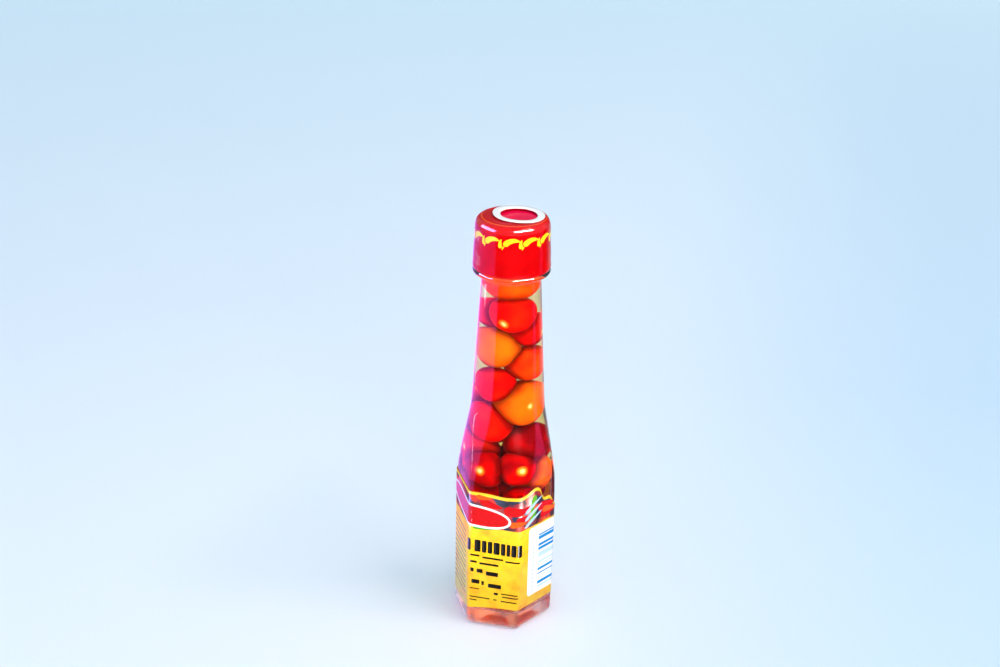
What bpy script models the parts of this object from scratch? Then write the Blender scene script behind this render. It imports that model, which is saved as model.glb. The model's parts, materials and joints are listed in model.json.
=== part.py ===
"""A small six-sided glass bottle of whole round chili peppers in brine, standing upright.

The bottle is one moulded piece: a hexagonal body, slanted shoulder facets that run out into a round
neck, a carrying bead and a threaded mouth. A screw cap with a sealing disc closes it, and a film
shrunk over the cap seals it. A printed label is wrapped round the body. The chilies are packed in
brine up to the mouth. Metres, +Z up, origin at the middle of the foot, front facet facing -Y.
"""

import math

import bmesh
import bpy
import numpy as np
from mathutils import Matrix, Vector

MM = 0.001
TINY = 0.001 * MM
SHARP = math.radians(35.0)

# Glass body: a hexagon, 34 mm across its flats
BODY_FLATS = 34.0 * MM
CORNER_ROUND = 2.5 * MM
HEEL_ROUND = 2.8 * MM
WALL = 2.0 * MM
INNER_CORNER_ROUND = 5.0 * MM
FLOOR_TOP = 5.6 * MM
FLOOR_DOME = 0.7 * MM
FLOOR_DOME_R = 7.6 * MM
INNER_HEEL = 3.2 * MM
FOOT_WIDTH = 3.0 * MM
PUSH_UP = 1.1 * MM
PUSH_UP_R = 6.0 * MM

# Shoulder and neck: two cones, the lower one cut by slanted facets
FACET_TURN_Z = 62.0 * MM
FACET_END_Z = 88.0 * MM
FACET_SLANT = 0.10
SHOULDER_TOP_Z = 89.0 * MM
SHOULDER_TOP_R = 13.75 * MM
SHOULDER_SLOPE = 0.209
NECK_TOP_Z = 139.5 * MM
NECK_TOP_R = 10.85 * MM
CONE_BEND = 2.0 * MM
FACET_BLEND = 26.0
OUTER_HEIGHTS = (62.0, 66.0, 70.0, 74.0, 78.0, 81.5, 85.0, 88.0, 91.0, 96.0, 139.5)
INNER_HEIGHTS = (138.0, 94.0, 89.0, 84.0, 78.0, 70.0, 62.0)

# Mouth: carrying bead, threaded finish for a 24 mm closure
BEAD_Z = 143.1 * MM
BEAD_R = 14.15 * MM
BEAD_HALF = 1.1 * MM
BEAD_FOOT = 1.75 * MM
BEAD_HEAD = 1.5 * MM
FINISH_R = 10.9 * MM
RIM_Z = 159.2 * MM
RIM_ROUND = 0.6 * MM
BORE_R = 8.7 * MM
BORE_LOW_Z = 143.0 * MM
THREAD_PITCH = 3.175 * MM
THREAD_TURNS = 1.75
THREAD_LOW_Z = 148.6 * MM
THREAD_CREST_R = 12.0 * MM
THREAD_ROOT_WIDTH = 1.1 * MM
THREAD_CREST_WIDTH = 0.5 * MM
THREAD_SINK = 0.25 * MM
THREAD_RUN_OUT = 3.0
STEPS_PER_TURN = 16

# Screw cap and its sealing disc
CAP_LOW_Z = 145.1 * MM
CAP_LOW_R = 13.25 * MM
CAP_TOP_Z = 162.4 * MM
CAP_TOP_R = 13.0 * MM
CAP_EDGE_ROUND = 1.6 * MM
GATE_R = 0.9 * MM
GATE_DEPTH = 0.4 * MM
CAP_BORE_R = 12.4 * MM
CAP_CEILING_Z = 160.6 * MM
CAP_CREST_R = 11.3 * MM
DISC_R = 12.0 * MM
DISC_LOW_Z = 159.5 * MM
DISC_THICK = 0.8 * MM

# Shrink seal over the cap, and the label's film
FILM = 0.3 * MM
FILM_GAP = 0.3 * MM
SEAL_MOUTH_SHIFT = Vector((1.95, 0.75)) * MM
SEAL_MOUTH_R = 6.8 * MM
SEAL_BAND_R = 9.3 * MM
SEAL_BAND_Z = 164.0 * MM

# Label round the body. Its upper edge is die-cut: place along it, rise and length of each bump,
# then of each step, in mm
LABEL_LOW_Z = 9.4 * MM
LABEL_HIGH_Z = 59.0 * MM
LABEL_SEAM = 3.0 * MM
LABEL_BUMPS = ((4.0, -0.7, 5.0), (18.0, 1.3, 3.4))
LABEL_STEPS = ((21.6, -4.8, 0.5), (28.0, -5.2, 0.6), (44.0, 10.0, 1.6))
LABEL_SKEW = 3.9 * MM
LABEL_SKEW_PLACE = -11.0 * MM
LABEL_SKEW_LENGTH = 5.0 * MM

# Brine, and the gaps between pieces that touch
CLEAR = 0.3 * MM
WALL_CLEAR = 0.45 * MM
BRINE_TOP_Z = 151.5 * MM
HOLE_GROWTH = 1.062

# The chilies that show from the front, from the mouth down: angle from the front facet in degrees,
# height and diameter in mm, where the stalk scar points (its angle and its rise in degrees), and how
# red the fruit is (0 orange, 1 deep red). The others lie below them, three to a layer.
SEEN = (
    (10.0, 140.6, 18.0, 60.0, 70.0, 0.2),
    (18.0, 126.4, 14.4, -18.0, -22.0, 0.9),
    (-120.0, 126.0, 11.6, -90.0, 20.0, 0.7),
    (118.0, 119.9, 13.2, 100.0, -10.0, 0.8),
    (-60.0, 113.2, 15.6, -90.0, -30.0, 0.1),
    (98.0, 107.4, 13.8, 150.0, 40.0, 0.4),
    (-28.0, 98.8, 13.8, 170.0, 20.0, 0.8),
    (88.0, 90.8, 17.8, 48.0, 6.0, 0.15),
    (-165.0, 90.0, 13.6, -70.0, 50.0, 0.6),
    (-44.0, 84.2, 15.6, -170.0, 30.0, 0.75),
    (86.0, 74.6, 15.2, 170.0, 30.0, 0.9),
    (-134.0, 77.4, 14.2, 20.0, -20.0, 1.0),
    (-95.0, 70.4, 14.2, -60.0, 0.0, 0.65),
    (-36.0, 65.4, 14.0, -16.0, 12.0, 0.85),
    (38.0, 66.8, 13.0, 32.0, 10.0, 0.95),
    (92.0, 61.8, 14.8, 80.0, -70.0, 0.25),
    (142.0, 70.0, 14.0, 160.0, 30.0, 0.8),
    (-150.0, 61.5, 14.4, -140.0, -15.0, 0.5),
)
LAYERS = 5
PER_LAYER = 3
FIRST_LAYER_Z = 13.0 * MM
LAYER_RISE = 10.3 * MM
LAYER_TURN = 0.5
FIRST_TURN = math.radians(66.0)
HIDDEN_ACROSS = (13.4 * MM, 14.6 * MM)
HEIGHT_SPREAD = 0.3
TURN_SPREAD = 0.2
CHILI_CEILING_Z = 150.2 * MM

# How the chilies press on one another and on the glass
PRESSED_SEEN = 0.7
PRESSED_HIDDEN = 0.82
PRESSED_ON_GLASS = 0.82
PRESS_BLEND = 18.0
PUSH = 0.4
HOLD_SEEN = 0.1
HOLD_HIDDEN = 0.003
SETTLE_ROUNDS = 1500

# A chili's own shape and shades
CHILI_SIDES = 9
CHILI_STEPS = (9.0, 16.0, 38.0, 62.0, 88.0, 114.0, 140.0, 164.0)
SCAR_ANGLE = math.radians(13.0)
SCAR_RISE = 0.03
LOBES = 3.0
LOBE_DEPTH = 0.03
DIMPLE_DEPTH = 0.05
DIMPLE_ANGLE = 0.42
FLATTENED = (0.92, 0.99)
SHADE_LIMITS = (0.3, 0.62)
GOLDEN = (math.sqrt(5.0) - 1.0) / 2.0

# Angles of the points round the glass, and its six flats
COLUMNS_PER_FACET = (-26.2, -13.1, 0.0, 13.1, 26.2, 30.0)
COLUMNS = np.radians([60.0 * facet + step for facet in range(6) for step in COLUMNS_PER_FACET])
BRINE_COLUMNS = [column for column in range(len(COLUMNS)) if column % 6 in (0, 2, 4)]
FACET_NORMALS = np.array([(math.sin(a), -math.cos(a)) for a in np.arange(6) * math.pi / 3])


def clear_scene():
    for obj in list(bpy.data.objects):
        bpy.data.objects.remove(obj)


def collection(name, hidden=False):
    made = bpy.data.collections.new(name)
    bpy.context.scene.collection.children.link(made)
    made.hide_render = hidden
    return made


def material(name, colour, roughness, metallic=0.0, transmission=0.0):
    made = bpy.data.materials.new(name)
    made.use_nodes = True
    shader = made.node_tree.nodes["Principled BSDF"]
    shader.inputs["Base Color"].default_value = (*colour, 1.0)
    shader.inputs["Roughness"].default_value = roughness
    shader.inputs["Metallic"].default_value = metallic
    shader.inputs["Transmission Weight"].default_value = transmission
    return made


def add_object(name, mesh, target, finish):
    obj = bpy.data.objects.new(name, mesh)
    target.objects.link(obj)
    if finish is not None:
        mesh.materials.append(finish)
    mesh.shade_smooth()
    mesh.set_sharp_from_angle(angle=SHARP)
    return obj


def loft(name, rings, close_start=True, close_end=True, close_round=True):
    """A skin through rings of points, given as an array (rings, points, 3), with its ends filled."""
    count, around = rings.shape[:2]
    mesh = bpy.data.meshes.new(name)
    faces = []
    last = around if close_round else around - 1
    for i in range(count - 1):
        for j in range(last):
            k = (j + 1) % around
            faces.append((i * around + j, i * around + k, (i + 1) * around + k, (i + 1) * around + j))
    if close_start:
        faces.append(tuple(reversed(range(around))))
    if close_end:
        faces.append(tuple(range((count - 1) * around, count * around)))
    mesh.from_pydata([tuple(p) for p in rings.reshape(-1, 3)], [], faces)
    mesh.update()
    return mesh


def hexagon_radius(angle, flats_half, rounding):
    """Distance from the middle to the side of a hexagon with round corners, facets square to -Y."""
    from_facet = (angle + math.pi / 6) % (math.pi / 3) - math.pi / 6
    from_corner = math.pi / 6 - np.abs(from_facet)
    corner = (flats_half - rounding) / math.cos(math.pi / 6)
    turn_off = np.arctan((flats_half - rounding) * math.tan(math.pi / 6) / flats_half)
    flat = flats_half / np.cos(from_facet)
    reach = np.maximum(rounding**2 - (corner * np.sin(from_corner)) ** 2, 0.0)
    curved = corner * np.cos(from_corner) + np.sqrt(reach)
    return np.where(np.abs(from_facet) <= turn_off, flat, curved)


def cone_radius(z):
    """The round neck and, below it, the wider cone of the shoulder, meeting in a soft bend."""
    neck_slope = (SHOULDER_TOP_R - NECK_TOP_R) / (NECK_TOP_Z - SHOULDER_TOP_Z)
    below = SHOULDER_TOP_Z - z
    soft = CONE_BEND * np.logaddexp(0.0, below / CONE_BEND)
    return SHOULDER_TOP_R + neck_slope * below + (SHOULDER_SLOPE - neck_slope) * soft


def flats_radius(z):
    """Half the width between opposite flats: level on the body, leaning in up the shoulder."""
    return BODY_FLATS / 2 - FACET_SLANT * (np.clip(z, FACET_TURN_Z, FACET_END_Z) - FACET_TURN_Z)


def glass_radius(angle, z, inset=0.0, rounding=CORNER_ROUND):
    """The bottle's side at an angle and height, or a skin inset from it: the smaller of hexagon and cone."""
    side = hexagon_radius(angle, flats_radius(z) - inset, rounding)
    cone = cone_radius(z) - inset
    return (side**-FACET_BLEND + cone**-FACET_BLEND) ** (-1.0 / FACET_BLEND)


def ring_at(radius, z):
    """One ring of points at the columns' angles, angle 0 facing -Y and turning towards +X."""
    radius = np.broadcast_to(radius, COLUMNS.shape)
    height = np.broadcast_to(z, COLUMNS.shape)
    return np.stack([radius * np.sin(COLUMNS), -radius * np.cos(COLUMNS), height], axis=1)


def side_ring(z, inset=0.0, rounding=CORNER_ROUND, pull=0.0):
    return ring_at(glass_radius(COLUMNS, z, inset, rounding) - pull, z)


def outer_side_rings():
    """The foot, the heel, the body, the shoulder and the neck, upwards."""
    rings = [
        ring_at(PUSH_UP_R, PUSH_UP),
        ring_at(glass_radius(COLUMNS, 0.0) - HEEL_ROUND - FOOT_WIDTH, 0.0),
        side_ring(0.0, pull=HEEL_ROUND),
    ]
    for turn in (0.35, 0.7, 1.0):
        part = turn * math.pi / 2
        pull = HEEL_ROUND * (1.0 - math.sin(part))
        rings.append(side_ring(HEEL_ROUND * (1.0 - math.cos(part)), pull=pull))
    for height in OUTER_HEIGHTS:
        rings.append(side_ring(height * MM))
    return rings


def mouth_rings():
    """The bead, the finish and the rim, upwards on the outside."""
    neck = float(glass_radius(0.0, NECK_TOP_Z))
    rings = [ring_at(neck, BEAD_Z - BEAD_FOOT)]
    for turn in (-80.0, -40.0, 0.0, 40.0, 80.0):
        part = math.radians(turn)
        radius = BEAD_R - BEAD_HALF * (1.0 - math.cos(part))
        rings.append(ring_at(radius, BEAD_Z + BEAD_HALF * math.sin(part)))
    rings.append(ring_at(FINISH_R, BEAD_Z + BEAD_HEAD))
    rings.append(ring_at(FINISH_R, RIM_Z - RIM_ROUND))
    rings.append(ring_at(FINISH_R - RIM_ROUND, RIM_Z))
    rings.append(ring_at(BORE_R + RIM_ROUND, RIM_Z))
    rings.append(ring_at(BORE_R, RIM_Z - RIM_ROUND))
    return rings


def cavity_rings(inset=0.0, top=None):
    """The hollow, from the mouth down to the floor. The inset shrinks it, as for the brine in it."""
    rings = [] if top is None else [ring_at(BORE_R - inset, top)]
    rings.append(ring_at(BORE_R - inset, BORE_LOW_Z))
    for height in INNER_HEIGHTS:
        rings.append(side_ring(height * MM, WALL + inset, INNER_CORNER_ROUND))
    for turn in (1.0, 0.6, 0.25):
        part = turn * math.pi / 2
        height = FLOOR_TOP + inset + INNER_HEEL * (1.0 - math.cos(part))
        pull = INNER_HEEL * (1.0 - math.sin(part))
        rings.append(side_ring(height, WALL + inset, INNER_CORNER_ROUND, pull))
    rings.append(ring_at(FLOOR_DOME_R, FLOOR_TOP + inset + FLOOR_DOME))
    return rings


def thread_ridge(name, root_r, crest_r, first_z):
    """A helical ridge with a flat crest, which runs out to nothing at both ends."""
    steps = int(THREAD_TURNS * STEPS_PER_TURN)
    sink = math.copysign(THREAD_SINK, root_r - crest_r)
    rings = []
    for step in range(steps + 1):
        turn = step / STEPS_PER_TURN
        full = min(1.0, (step + 0.6) / THREAD_RUN_OUT, (steps - step + 0.6) / THREAD_RUN_OUT)
        crest = root_r + (crest_r - root_r) * full
        middle = first_z + turn * THREAD_PITCH
        angle = 2.0 * math.pi * turn
        section = (
            (root_r + sink, -THREAD_ROOT_WIDTH / 2),
            (crest, -THREAD_CREST_WIDTH / 2),
            (crest, THREAD_CREST_WIDTH / 2),
            (root_r + sink, THREAD_ROOT_WIDTH / 2),
        )
        ring = [(r * math.sin(angle), -r * math.cos(angle), middle + dz) for r, dz in section]
        rings.append(ring)
    mesh = loft(name, np.array(rings))
    outwards(mesh)
    return mesh


def outwards(mesh):
    work = bmesh.new()
    work.from_mesh(mesh)
    bmesh.ops.recalc_face_normals(work, faces=work.faces)
    work.to_mesh(mesh)
    work.free()


def join(obj, other, operation="UNION"):
    """Applies a Boolean with another object, which is then removed."""
    modifier = obj.modifiers.new("join", "BOOLEAN")
    modifier.operation = operation
    modifier.object = other
    apply_modifiers(obj)
    bpy.data.objects.remove(other)


def apply_modifiers(obj):
    graph = bpy.context.evaluated_depsgraph_get()
    made = bpy.data.meshes.new_from_object(obj.evaluated_get(graph))
    obj.modifiers.clear()
    obj.data = made


def build_bottle(target, finish):
    rings = np.array(outer_side_rings() + mouth_rings() + cavity_rings())
    mesh = loft("bottle", rings)
    outwards(mesh)
    bottle = add_object("bottle", mesh, target, finish)
    ridge = add_object(
        "neck_ridge",
        thread_ridge("neck_ridge", FINISH_R, THREAD_CREST_R, THREAD_LOW_Z),
        target,
        finish,
    )
    join(bottle, ridge)
    return bottle


def turned(name, profile, target, finish, steps=32):
    """A closed outline in the XZ plane, given outer side first and downwards, turned by a Screw modifier."""
    mesh = bpy.data.meshes.new(name)
    points = [(x, 0.0, z) for x, z in profile]
    edges = [(i, i + 1) for i in range(len(points) - 1)]
    if profile[0][0] > 0.0:
        edges.append((len(points) - 1, 0))
    mesh.from_pydata(points, edges, [])
    obj = bpy.data.objects.new(name, mesh)
    target.objects.link(obj)
    screw = obj.modifiers.new("turn", "SCREW")
    screw.axis = "Z"
    screw.steps = steps
    screw.render_steps = steps
    screw.use_merge_vertices = True
    screw.merge_threshold = 0.00001
    screw.use_smooth_shade = True
    mesh.materials.append(finish)
    return obj


def build_cap(target, finish):
    """A moulded cap: a tapering skirt, a rounded edge, a flat top with its gate mark, a thread inside."""
    edge = [
        (
            CAP_TOP_R - CAP_EDGE_ROUND * (1.0 - math.sin(math.radians(turn))),
            CAP_TOP_Z - CAP_EDGE_ROUND * (1.0 - math.cos(math.radians(turn))),
        )
        for turn in (0.0, 30.0, 60.0, 90.0)
    ]
    profile = [
        (0.0, CAP_TOP_Z - GATE_DEPTH),
        (GATE_R, CAP_TOP_Z - GATE_DEPTH),
        (GATE_R + GATE_DEPTH, CAP_TOP_Z),
    ]
    profile += edge
    profile += [
        (CAP_LOW_R, CAP_LOW_Z),
        (CAP_BORE_R, CAP_LOW_Z),
        (CAP_BORE_R, CAP_CEILING_Z),
        (0.0, CAP_CEILING_Z),
    ]
    cap = turned("screw_cap", profile, target, finish)
    apply_modifiers(cap)
    outwards(cap.data)
    first = THREAD_LOW_Z - THREAD_PITCH / 2
    ridge_mesh = thread_ridge("cap_ridge", CAP_BORE_R, CAP_CREST_R, first)
    join(cap, add_object("cap_ridge", ridge_mesh, target, finish))
    cap.data.shade_smooth()
    cap.data.set_sharp_from_angle(angle=SHARP)
    return cap


def build_disc(target, finish):
    bpy.ops.mesh.primitive_cylinder_add(
        vertices=36, radius=DISC_R, depth=DISC_THICK, location=(0, 0, DISC_LOW_Z + DISC_THICK / 2)
    )
    disc = bpy.context.object
    disc.name = "sealing_disc"
    disc.data.materials.append(finish)
    for other in list(disc.users_collection):
        other.objects.unlink(disc)
    target.objects.link(disc)
    return disc


def seal_rings():
    """The film's outer skin: a tucked lower edge, the side, then a loose band round its open top.

    Each row has its radius, its height and its share of the open top's shift to one side."""
    skirt = FILM + FILM_GAP
    rows = [
        (CAP_LOW_R - 0.35 * MM, CAP_LOW_Z - 0.55 * MM, 0.0),
        (CAP_LOW_R + 0.35 * MM, CAP_LOW_Z - 0.25 * MM, 0.0),
        (CAP_LOW_R + skirt + 0.15 * MM, CAP_LOW_Z + 1.3 * MM, 0.0),
        (CAP_LOW_R + skirt, CAP_LOW_Z + 5.0 * MM, 0.0),
        (CAP_TOP_R + skirt, CAP_TOP_Z - 2.2 * MM, 0.0),
        (CAP_TOP_R + 0.35 * MM, CAP_TOP_Z - 0.55 * MM, 0.0),
        (CAP_TOP_R - 0.5 * MM, CAP_TOP_Z + 0.5 * MM, 0.08),
        (CAP_TOP_R - 1.5 * MM, CAP_TOP_Z + 0.85 * MM, 0.3),
        (SEAL_BAND_R + 0.7 * MM, CAP_TOP_Z + 0.95 * MM, 0.75),
        (SEAL_BAND_R, SEAL_BAND_Z - 0.1 * MM, 1.0),
        ((SEAL_BAND_R + SEAL_MOUTH_R) / 2, SEAL_BAND_Z + 0.2 * MM, 1.0),
        (SEAL_MOUTH_R, SEAL_BAND_Z, 1.0),
    ]
    rings = []
    for radius, height, share in rows:
        ring = ring_at(radius, height)
        ring[:, 0] += SEAL_MOUTH_SHIFT.x * share
        ring[:, 1] += SEAL_MOUTH_SHIFT.y * share
        rings.append(ring)
    return np.array(rings)


def build_seal(target, finish):
    mesh = loft("shrink_seal", seal_rings(), close_start=False, close_end=False)
    seal = add_object("shrink_seal", mesh, target, finish)
    wall = seal.modifiers.new("film", "SOLIDIFY")
    wall.thickness = FILM
    wall.offset = -1.0
    return seal


def step_at(along, place, softness):
    """A smooth step from 0 to 1 at a place along the label."""
    return 1.0 / (1.0 + np.exp(-(along - place) / softness))


def label_top(along):
    """Height of the label's die-cut upper edge at a distance along it from the front facet's middle."""
    height = LABEL_HIGH_Z
    for place, rise, length in LABEL_BUMPS:
        height = height + rise * MM * np.exp(-(((along / MM - place) / length) ** 2))
    for place, rise, length in LABEL_STEPS:
        height = height + rise * MM * step_at(along / MM, place, length)
    return height


def label_foot(along):
    """Height of the lower edge, which sits lower on the left, because the label is wrapped a little askew."""
    return LABEL_LOW_Z - LABEL_SKEW * step_at(-along, -LABEL_SKEW_PLACE, LABEL_SKEW_LENGTH)


def build_label(target, finish):
    """A film wrapped round the six flats, its two ends a little apart at the back."""
    skin = BODY_FLATS / 2 + CLEAR
    facet = 2.0 * skin * math.tan(math.pi / 6)
    half = 3.0 * facet - LABEL_SEAM / 2
    finer = np.concatenate([COLUMNS - 2.0 * math.pi, COLUMNS])
    finer = np.sort(np.concatenate([finer, (finer[1:] + finer[:-1]) / 2]))
    reach = math.pi - LABEL_SEAM / 2 / skin
    angles = np.concatenate([[-reach], finer[np.abs(finer) < reach - 0.01], [reach]])
    radius = glass_radius(angles, LABEL_LOW_Z) + CLEAR
    along = distance_along(angles, skin)
    along = np.clip(along, -half, half)
    side = np.stack([radius * np.sin(angles), -radius * np.cos(angles)], axis=1)
    low = np.column_stack([side, label_foot(along)])
    high = np.column_stack([side, label_top(along)])
    mesh = loft("label", np.array([low, high]), False, False, close_round=False)
    label = add_object("label", mesh, target, finish)
    wall = label.modifiers.new("film", "SOLIDIFY")
    wall.thickness = FILM
    wall.offset = 1.0
    return label


def distance_along(angle, flats_half):
    """Distance round the hexagon from the front facet's middle to an angle."""
    facet = np.round(angle / (math.pi / 3))
    from_facet = angle - facet * math.pi / 3
    return 2.0 * flats_half * math.tan(math.pi / 6) * facet + flats_half * np.tan(from_facet)


def cavity_room(z):
    """Half the hollow's width between flats and its cone's radius, at a height."""
    flats = flats_radius(z) - WALL
    cone = np.where(z > NECK_TOP_Z, BORE_R, np.minimum(cone_radius(z) - WALL, BODY_FLATS))
    return flats, cone


def against_wall(turn, height, across):
    """The centre of a chili that lies against the glass, from its angle, height and diameter."""
    flats, cone = cavity_room(height)
    off = min(flats, cone) - PRESSED_ON_GLASS * across / 2 - CLEAR
    return off * math.sin(turn), -off * math.cos(turn), height


def uneven(index, share):
    """A value from 0 to 1 that differs from chili to chili."""
    return (index * GOLDEN * share) % 1.0


def fruits():
    """Centre, radius, scar direction and redness of each chili before settling."""
    made = []
    for turn, height, across, scar_turn, scar_rise, redness in SEEN:
        centre = against_wall(math.radians(turn), height * MM, across * MM)
        scar = (math.radians(scar_turn), math.radians(scar_rise))
        made.append((centre, across * MM / 2, scar, redness))
    for i in range(LAYERS * PER_LAYER):
        layer, place = divmod(i, PER_LAYER)
        odd = uneven(i, 1.0)
        across = HIDDEN_ACROSS[0] + (HIDDEN_ACROSS[1] - HIDDEN_ACROSS[0]) * odd
        height = FIRST_LAYER_Z + LAYER_RISE * (layer + HEIGHT_SPREAD * (odd - 0.5))
        share = place + LAYER_TURN * (layer % 2) + TURN_SPREAD * odd
        turn = 2.0 * math.pi * share / PER_LAYER - FIRST_TURN
        rise = math.asin(2.0 * uneven(i + 1, GOLDEN) - 1.0)
        scar = (2.0 * math.pi * odd, rise)
        made.append((against_wall(turn, height, across), across / 2, scar, uneven(i, 7.0)))
    return made


def settle(centres, radii):
    """Eases the chilies off one another and off the glass, each one held near where it started."""
    start = centres.copy()
    seen = np.arange(len(radii)) < len(SEEN)
    hold = np.where(seen, HOLD_SEEN, HOLD_HIDDEN)[:, None]
    pressed = np.where(seen[:, None] & seen[None, :], PRESSED_SEEN, PRESSED_HIDDEN)
    nearest = pressed * (radii[:, None] + radii[None, :])
    for _ in range(SETTLE_ROUNDS):
        centres = centres + hold * (start - centres)
        apart = centres[:, None, :] - centres[None, :, :]
        gap = np.linalg.norm(apart, axis=2) + np.eye(len(radii))
        lap = np.maximum(nearest - gap, 0.0)
        np.fill_diagonal(lap, 0.0)
        centres = centres + PUSH * (apart / gap[:, :, None] * lap[:, :, None]).sum(axis=1)
        centres = keep_inside(centres, radii)
    return centres


def keep_inside(centres, radii):
    """Moves each centre back so that its chili stands on the floor and only presses on the flats and cone."""
    reach = PRESSED_ON_GLASS * radii
    flats, cone = cavity_room(centres[:, 2])
    for normal in FACET_NORMALS:
        past = centres[:, :2] @ normal - (flats - reach)
        centres[:, :2] -= np.maximum(past, 0.0)[:, None] * normal
    off = np.linalg.norm(centres[:, :2], axis=1) + TINY
    allowed = np.maximum(cone - reach / math.cos(math.atan(SHOULDER_SLOPE)), 0.0)
    centres[:, :2] *= np.minimum(1.0, allowed / off)[:, None]
    centres[:, 2] = np.clip(centres[:, 2], FLOOR_TOP + FLOOR_DOME + radii, CHILI_CEILING_Z - radii)
    return centres


def direction(turn, rise):
    flat = math.cos(rise)
    return Vector((flat * math.sin(turn), -flat * math.cos(turn), math.sin(rise)))


def chili_points(index, centres, radii, scar):
    """One fruit: round, slightly flattened and lobed, with a small raised scar at its stalk end.

    Each direction's reach is the smallest of the fruit's own and of those to the planes where it is
    pressed against its neighbours. The glass then holds it in."""
    centre, radius = centres[index], radii[index]
    around = np.linspace(0.0, 2.0 * math.pi, CHILI_SIDES, endpoint=False)
    polar = np.radians(CHILI_STEPS)[:, None]
    phase = 2.0 * math.pi * uneven(index, 3.0)
    flatten = FLATTENED[0] + (FLATTENED[1] - FLATTENED[0]) * uneven(index, 5.0)
    lobes = 1.0 - LOBE_DEPTH * (1.0 - np.cos(LOBES * around + phase)) / 2 * np.sin(polar) ** 2
    size = radius * lobes * (1.0 - DIMPLE_DEPTH * np.exp(-((polar / DIMPLE_ANGLE) ** 2)))
    rise = size * np.cos(polar) * flatten + np.where(polar < SCAR_ANGLE, SCAR_RISE * radius, 0.0)
    local = np.stack([size * np.sin(polar) * np.cos(around), size * np.sin(polar) * np.sin(around), rise], 2)
    turn = np.array(direction(*scar).to_track_quat("Z", "Y").to_matrix())
    points = local @ turn.T
    reach = np.linalg.norm(points, axis=2)
    rays = points / reach[:, :, None]
    shrink = np.power(reach / radius, -PRESS_BLEND)
    for other in range(len(radii)):
        apart = centres[other] - centre
        gap = np.linalg.norm(apart)
        if other == index or gap > radius + radii[other] + CLEAR:
            continue
        plane = (gap**2 + radius**2 - radii[other] ** 2) / (2.0 * gap) - CLEAR / 2
        facing = np.maximum(rays @ (apart / gap), 0.01)
        shrink = shrink + np.power(plane / facing / radius, -PRESS_BLEND)
    points = centre + rays * (radius * shrink ** (-1.0 / PRESS_BLEND))[:, :, None]
    return held_by_glass(points)


def held_by_glass(points):
    """Draws points in to the hollow's wall, less the gap between touching pieces."""
    angle = np.arctan2(points[..., 0], -points[..., 1])
    height = points[..., 2]
    wall = glass_radius(angle, height, WALL + WALL_CLEAR, INNER_CORNER_ROUND)
    wall = np.where(height > NECK_TOP_Z, np.minimum(wall, BORE_R - WALL_CLEAR), wall)
    off = np.linalg.norm(points[..., :2], axis=-1)
    held = points.copy()
    held[..., :2] *= np.minimum(1.0, wall / np.maximum(off, TINY))[..., None]
    return held


def build_chilies(centres, radii, packed, target, finishes):
    for index, (_, _, scar, redness) in enumerate(packed):
        name = f"chili_{index + 1:02d}"
        mesh = loft(name, chili_points(index, centres, radii, scar))
        outwards(mesh)
        add_object(name, mesh, target, finishes[sum(redness > limit for limit in SHADE_LIMITS)])


def build_brine(centres, radii, target, helpers, finish):
    """The liquid: it fills the hollow up to its level, less a hole for each chili.

    A hole's flat faces lie a little inside its ball, so the ball is that much larger than the chili."""
    rings = np.array(cavity_rings(inset=CLEAR, top=BRINE_TOP_Z))
    mesh = loft("brine", rings[:, BRINE_COLUMNS])
    outwards(mesh)
    brine = add_object("brine", mesh, target, finish)
    for index, (centre, radius) in enumerate(zip(centres, radii)):
        hole = bmesh.new()
        place = Matrix.Translation(Vector(centre)) @ Matrix.Rotation(index, 4, "X")
        ball = HOLE_GROWTH * (radius + CLEAR)
        bmesh.ops.create_icosphere(hole, subdivisions=2, radius=ball, matrix=place)
        cutter = bpy.data.meshes.new(f"hole_{index + 1:02d}")
        hole.to_mesh(cutter)
        hole.free()
        helper = bpy.data.objects.new(cutter.name, cutter)
        helper.hide_render = True
        helper.display_type = "WIRE"
        helpers.objects.link(helper)
    cut = brine.modifiers.new("holes", "BOOLEAN")
    cut.operation = "DIFFERENCE"
    cut.operand_type = "COLLECTION"
    cut.collection = helpers
    apply_modifiers(brine)
    for cutter in list(helpers.objects):
        bpy.data.objects.remove(cutter)
    keep_largest(brine.data)
    return brine


def keep_largest(mesh):
    """Drops the loose scraps of liquid that the holes leave between chilies and glass."""
    work = bmesh.new()
    work.from_mesh(mesh)
    bmesh.ops.remove_doubles(work, verts=work.verts, dist=2.0 * TINY)
    left = set(work.faces)
    groups = []
    while left:
        group = set()
        front = [left.pop()]
        while front:
            face = front.pop()
            group.add(face)
            for edge in face.edges:
                for other in edge.link_faces:
                    if other in left:
                        left.discard(other)
                        front.append(other)
        groups.append(group)
    groups.sort(key=len, reverse=True)
    scraps = [face for group in groups[1:] for face in group]
    bmesh.ops.delete(work, geom=scraps, context="FACES")
    work.to_mesh(mesh)
    work.free()


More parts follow.
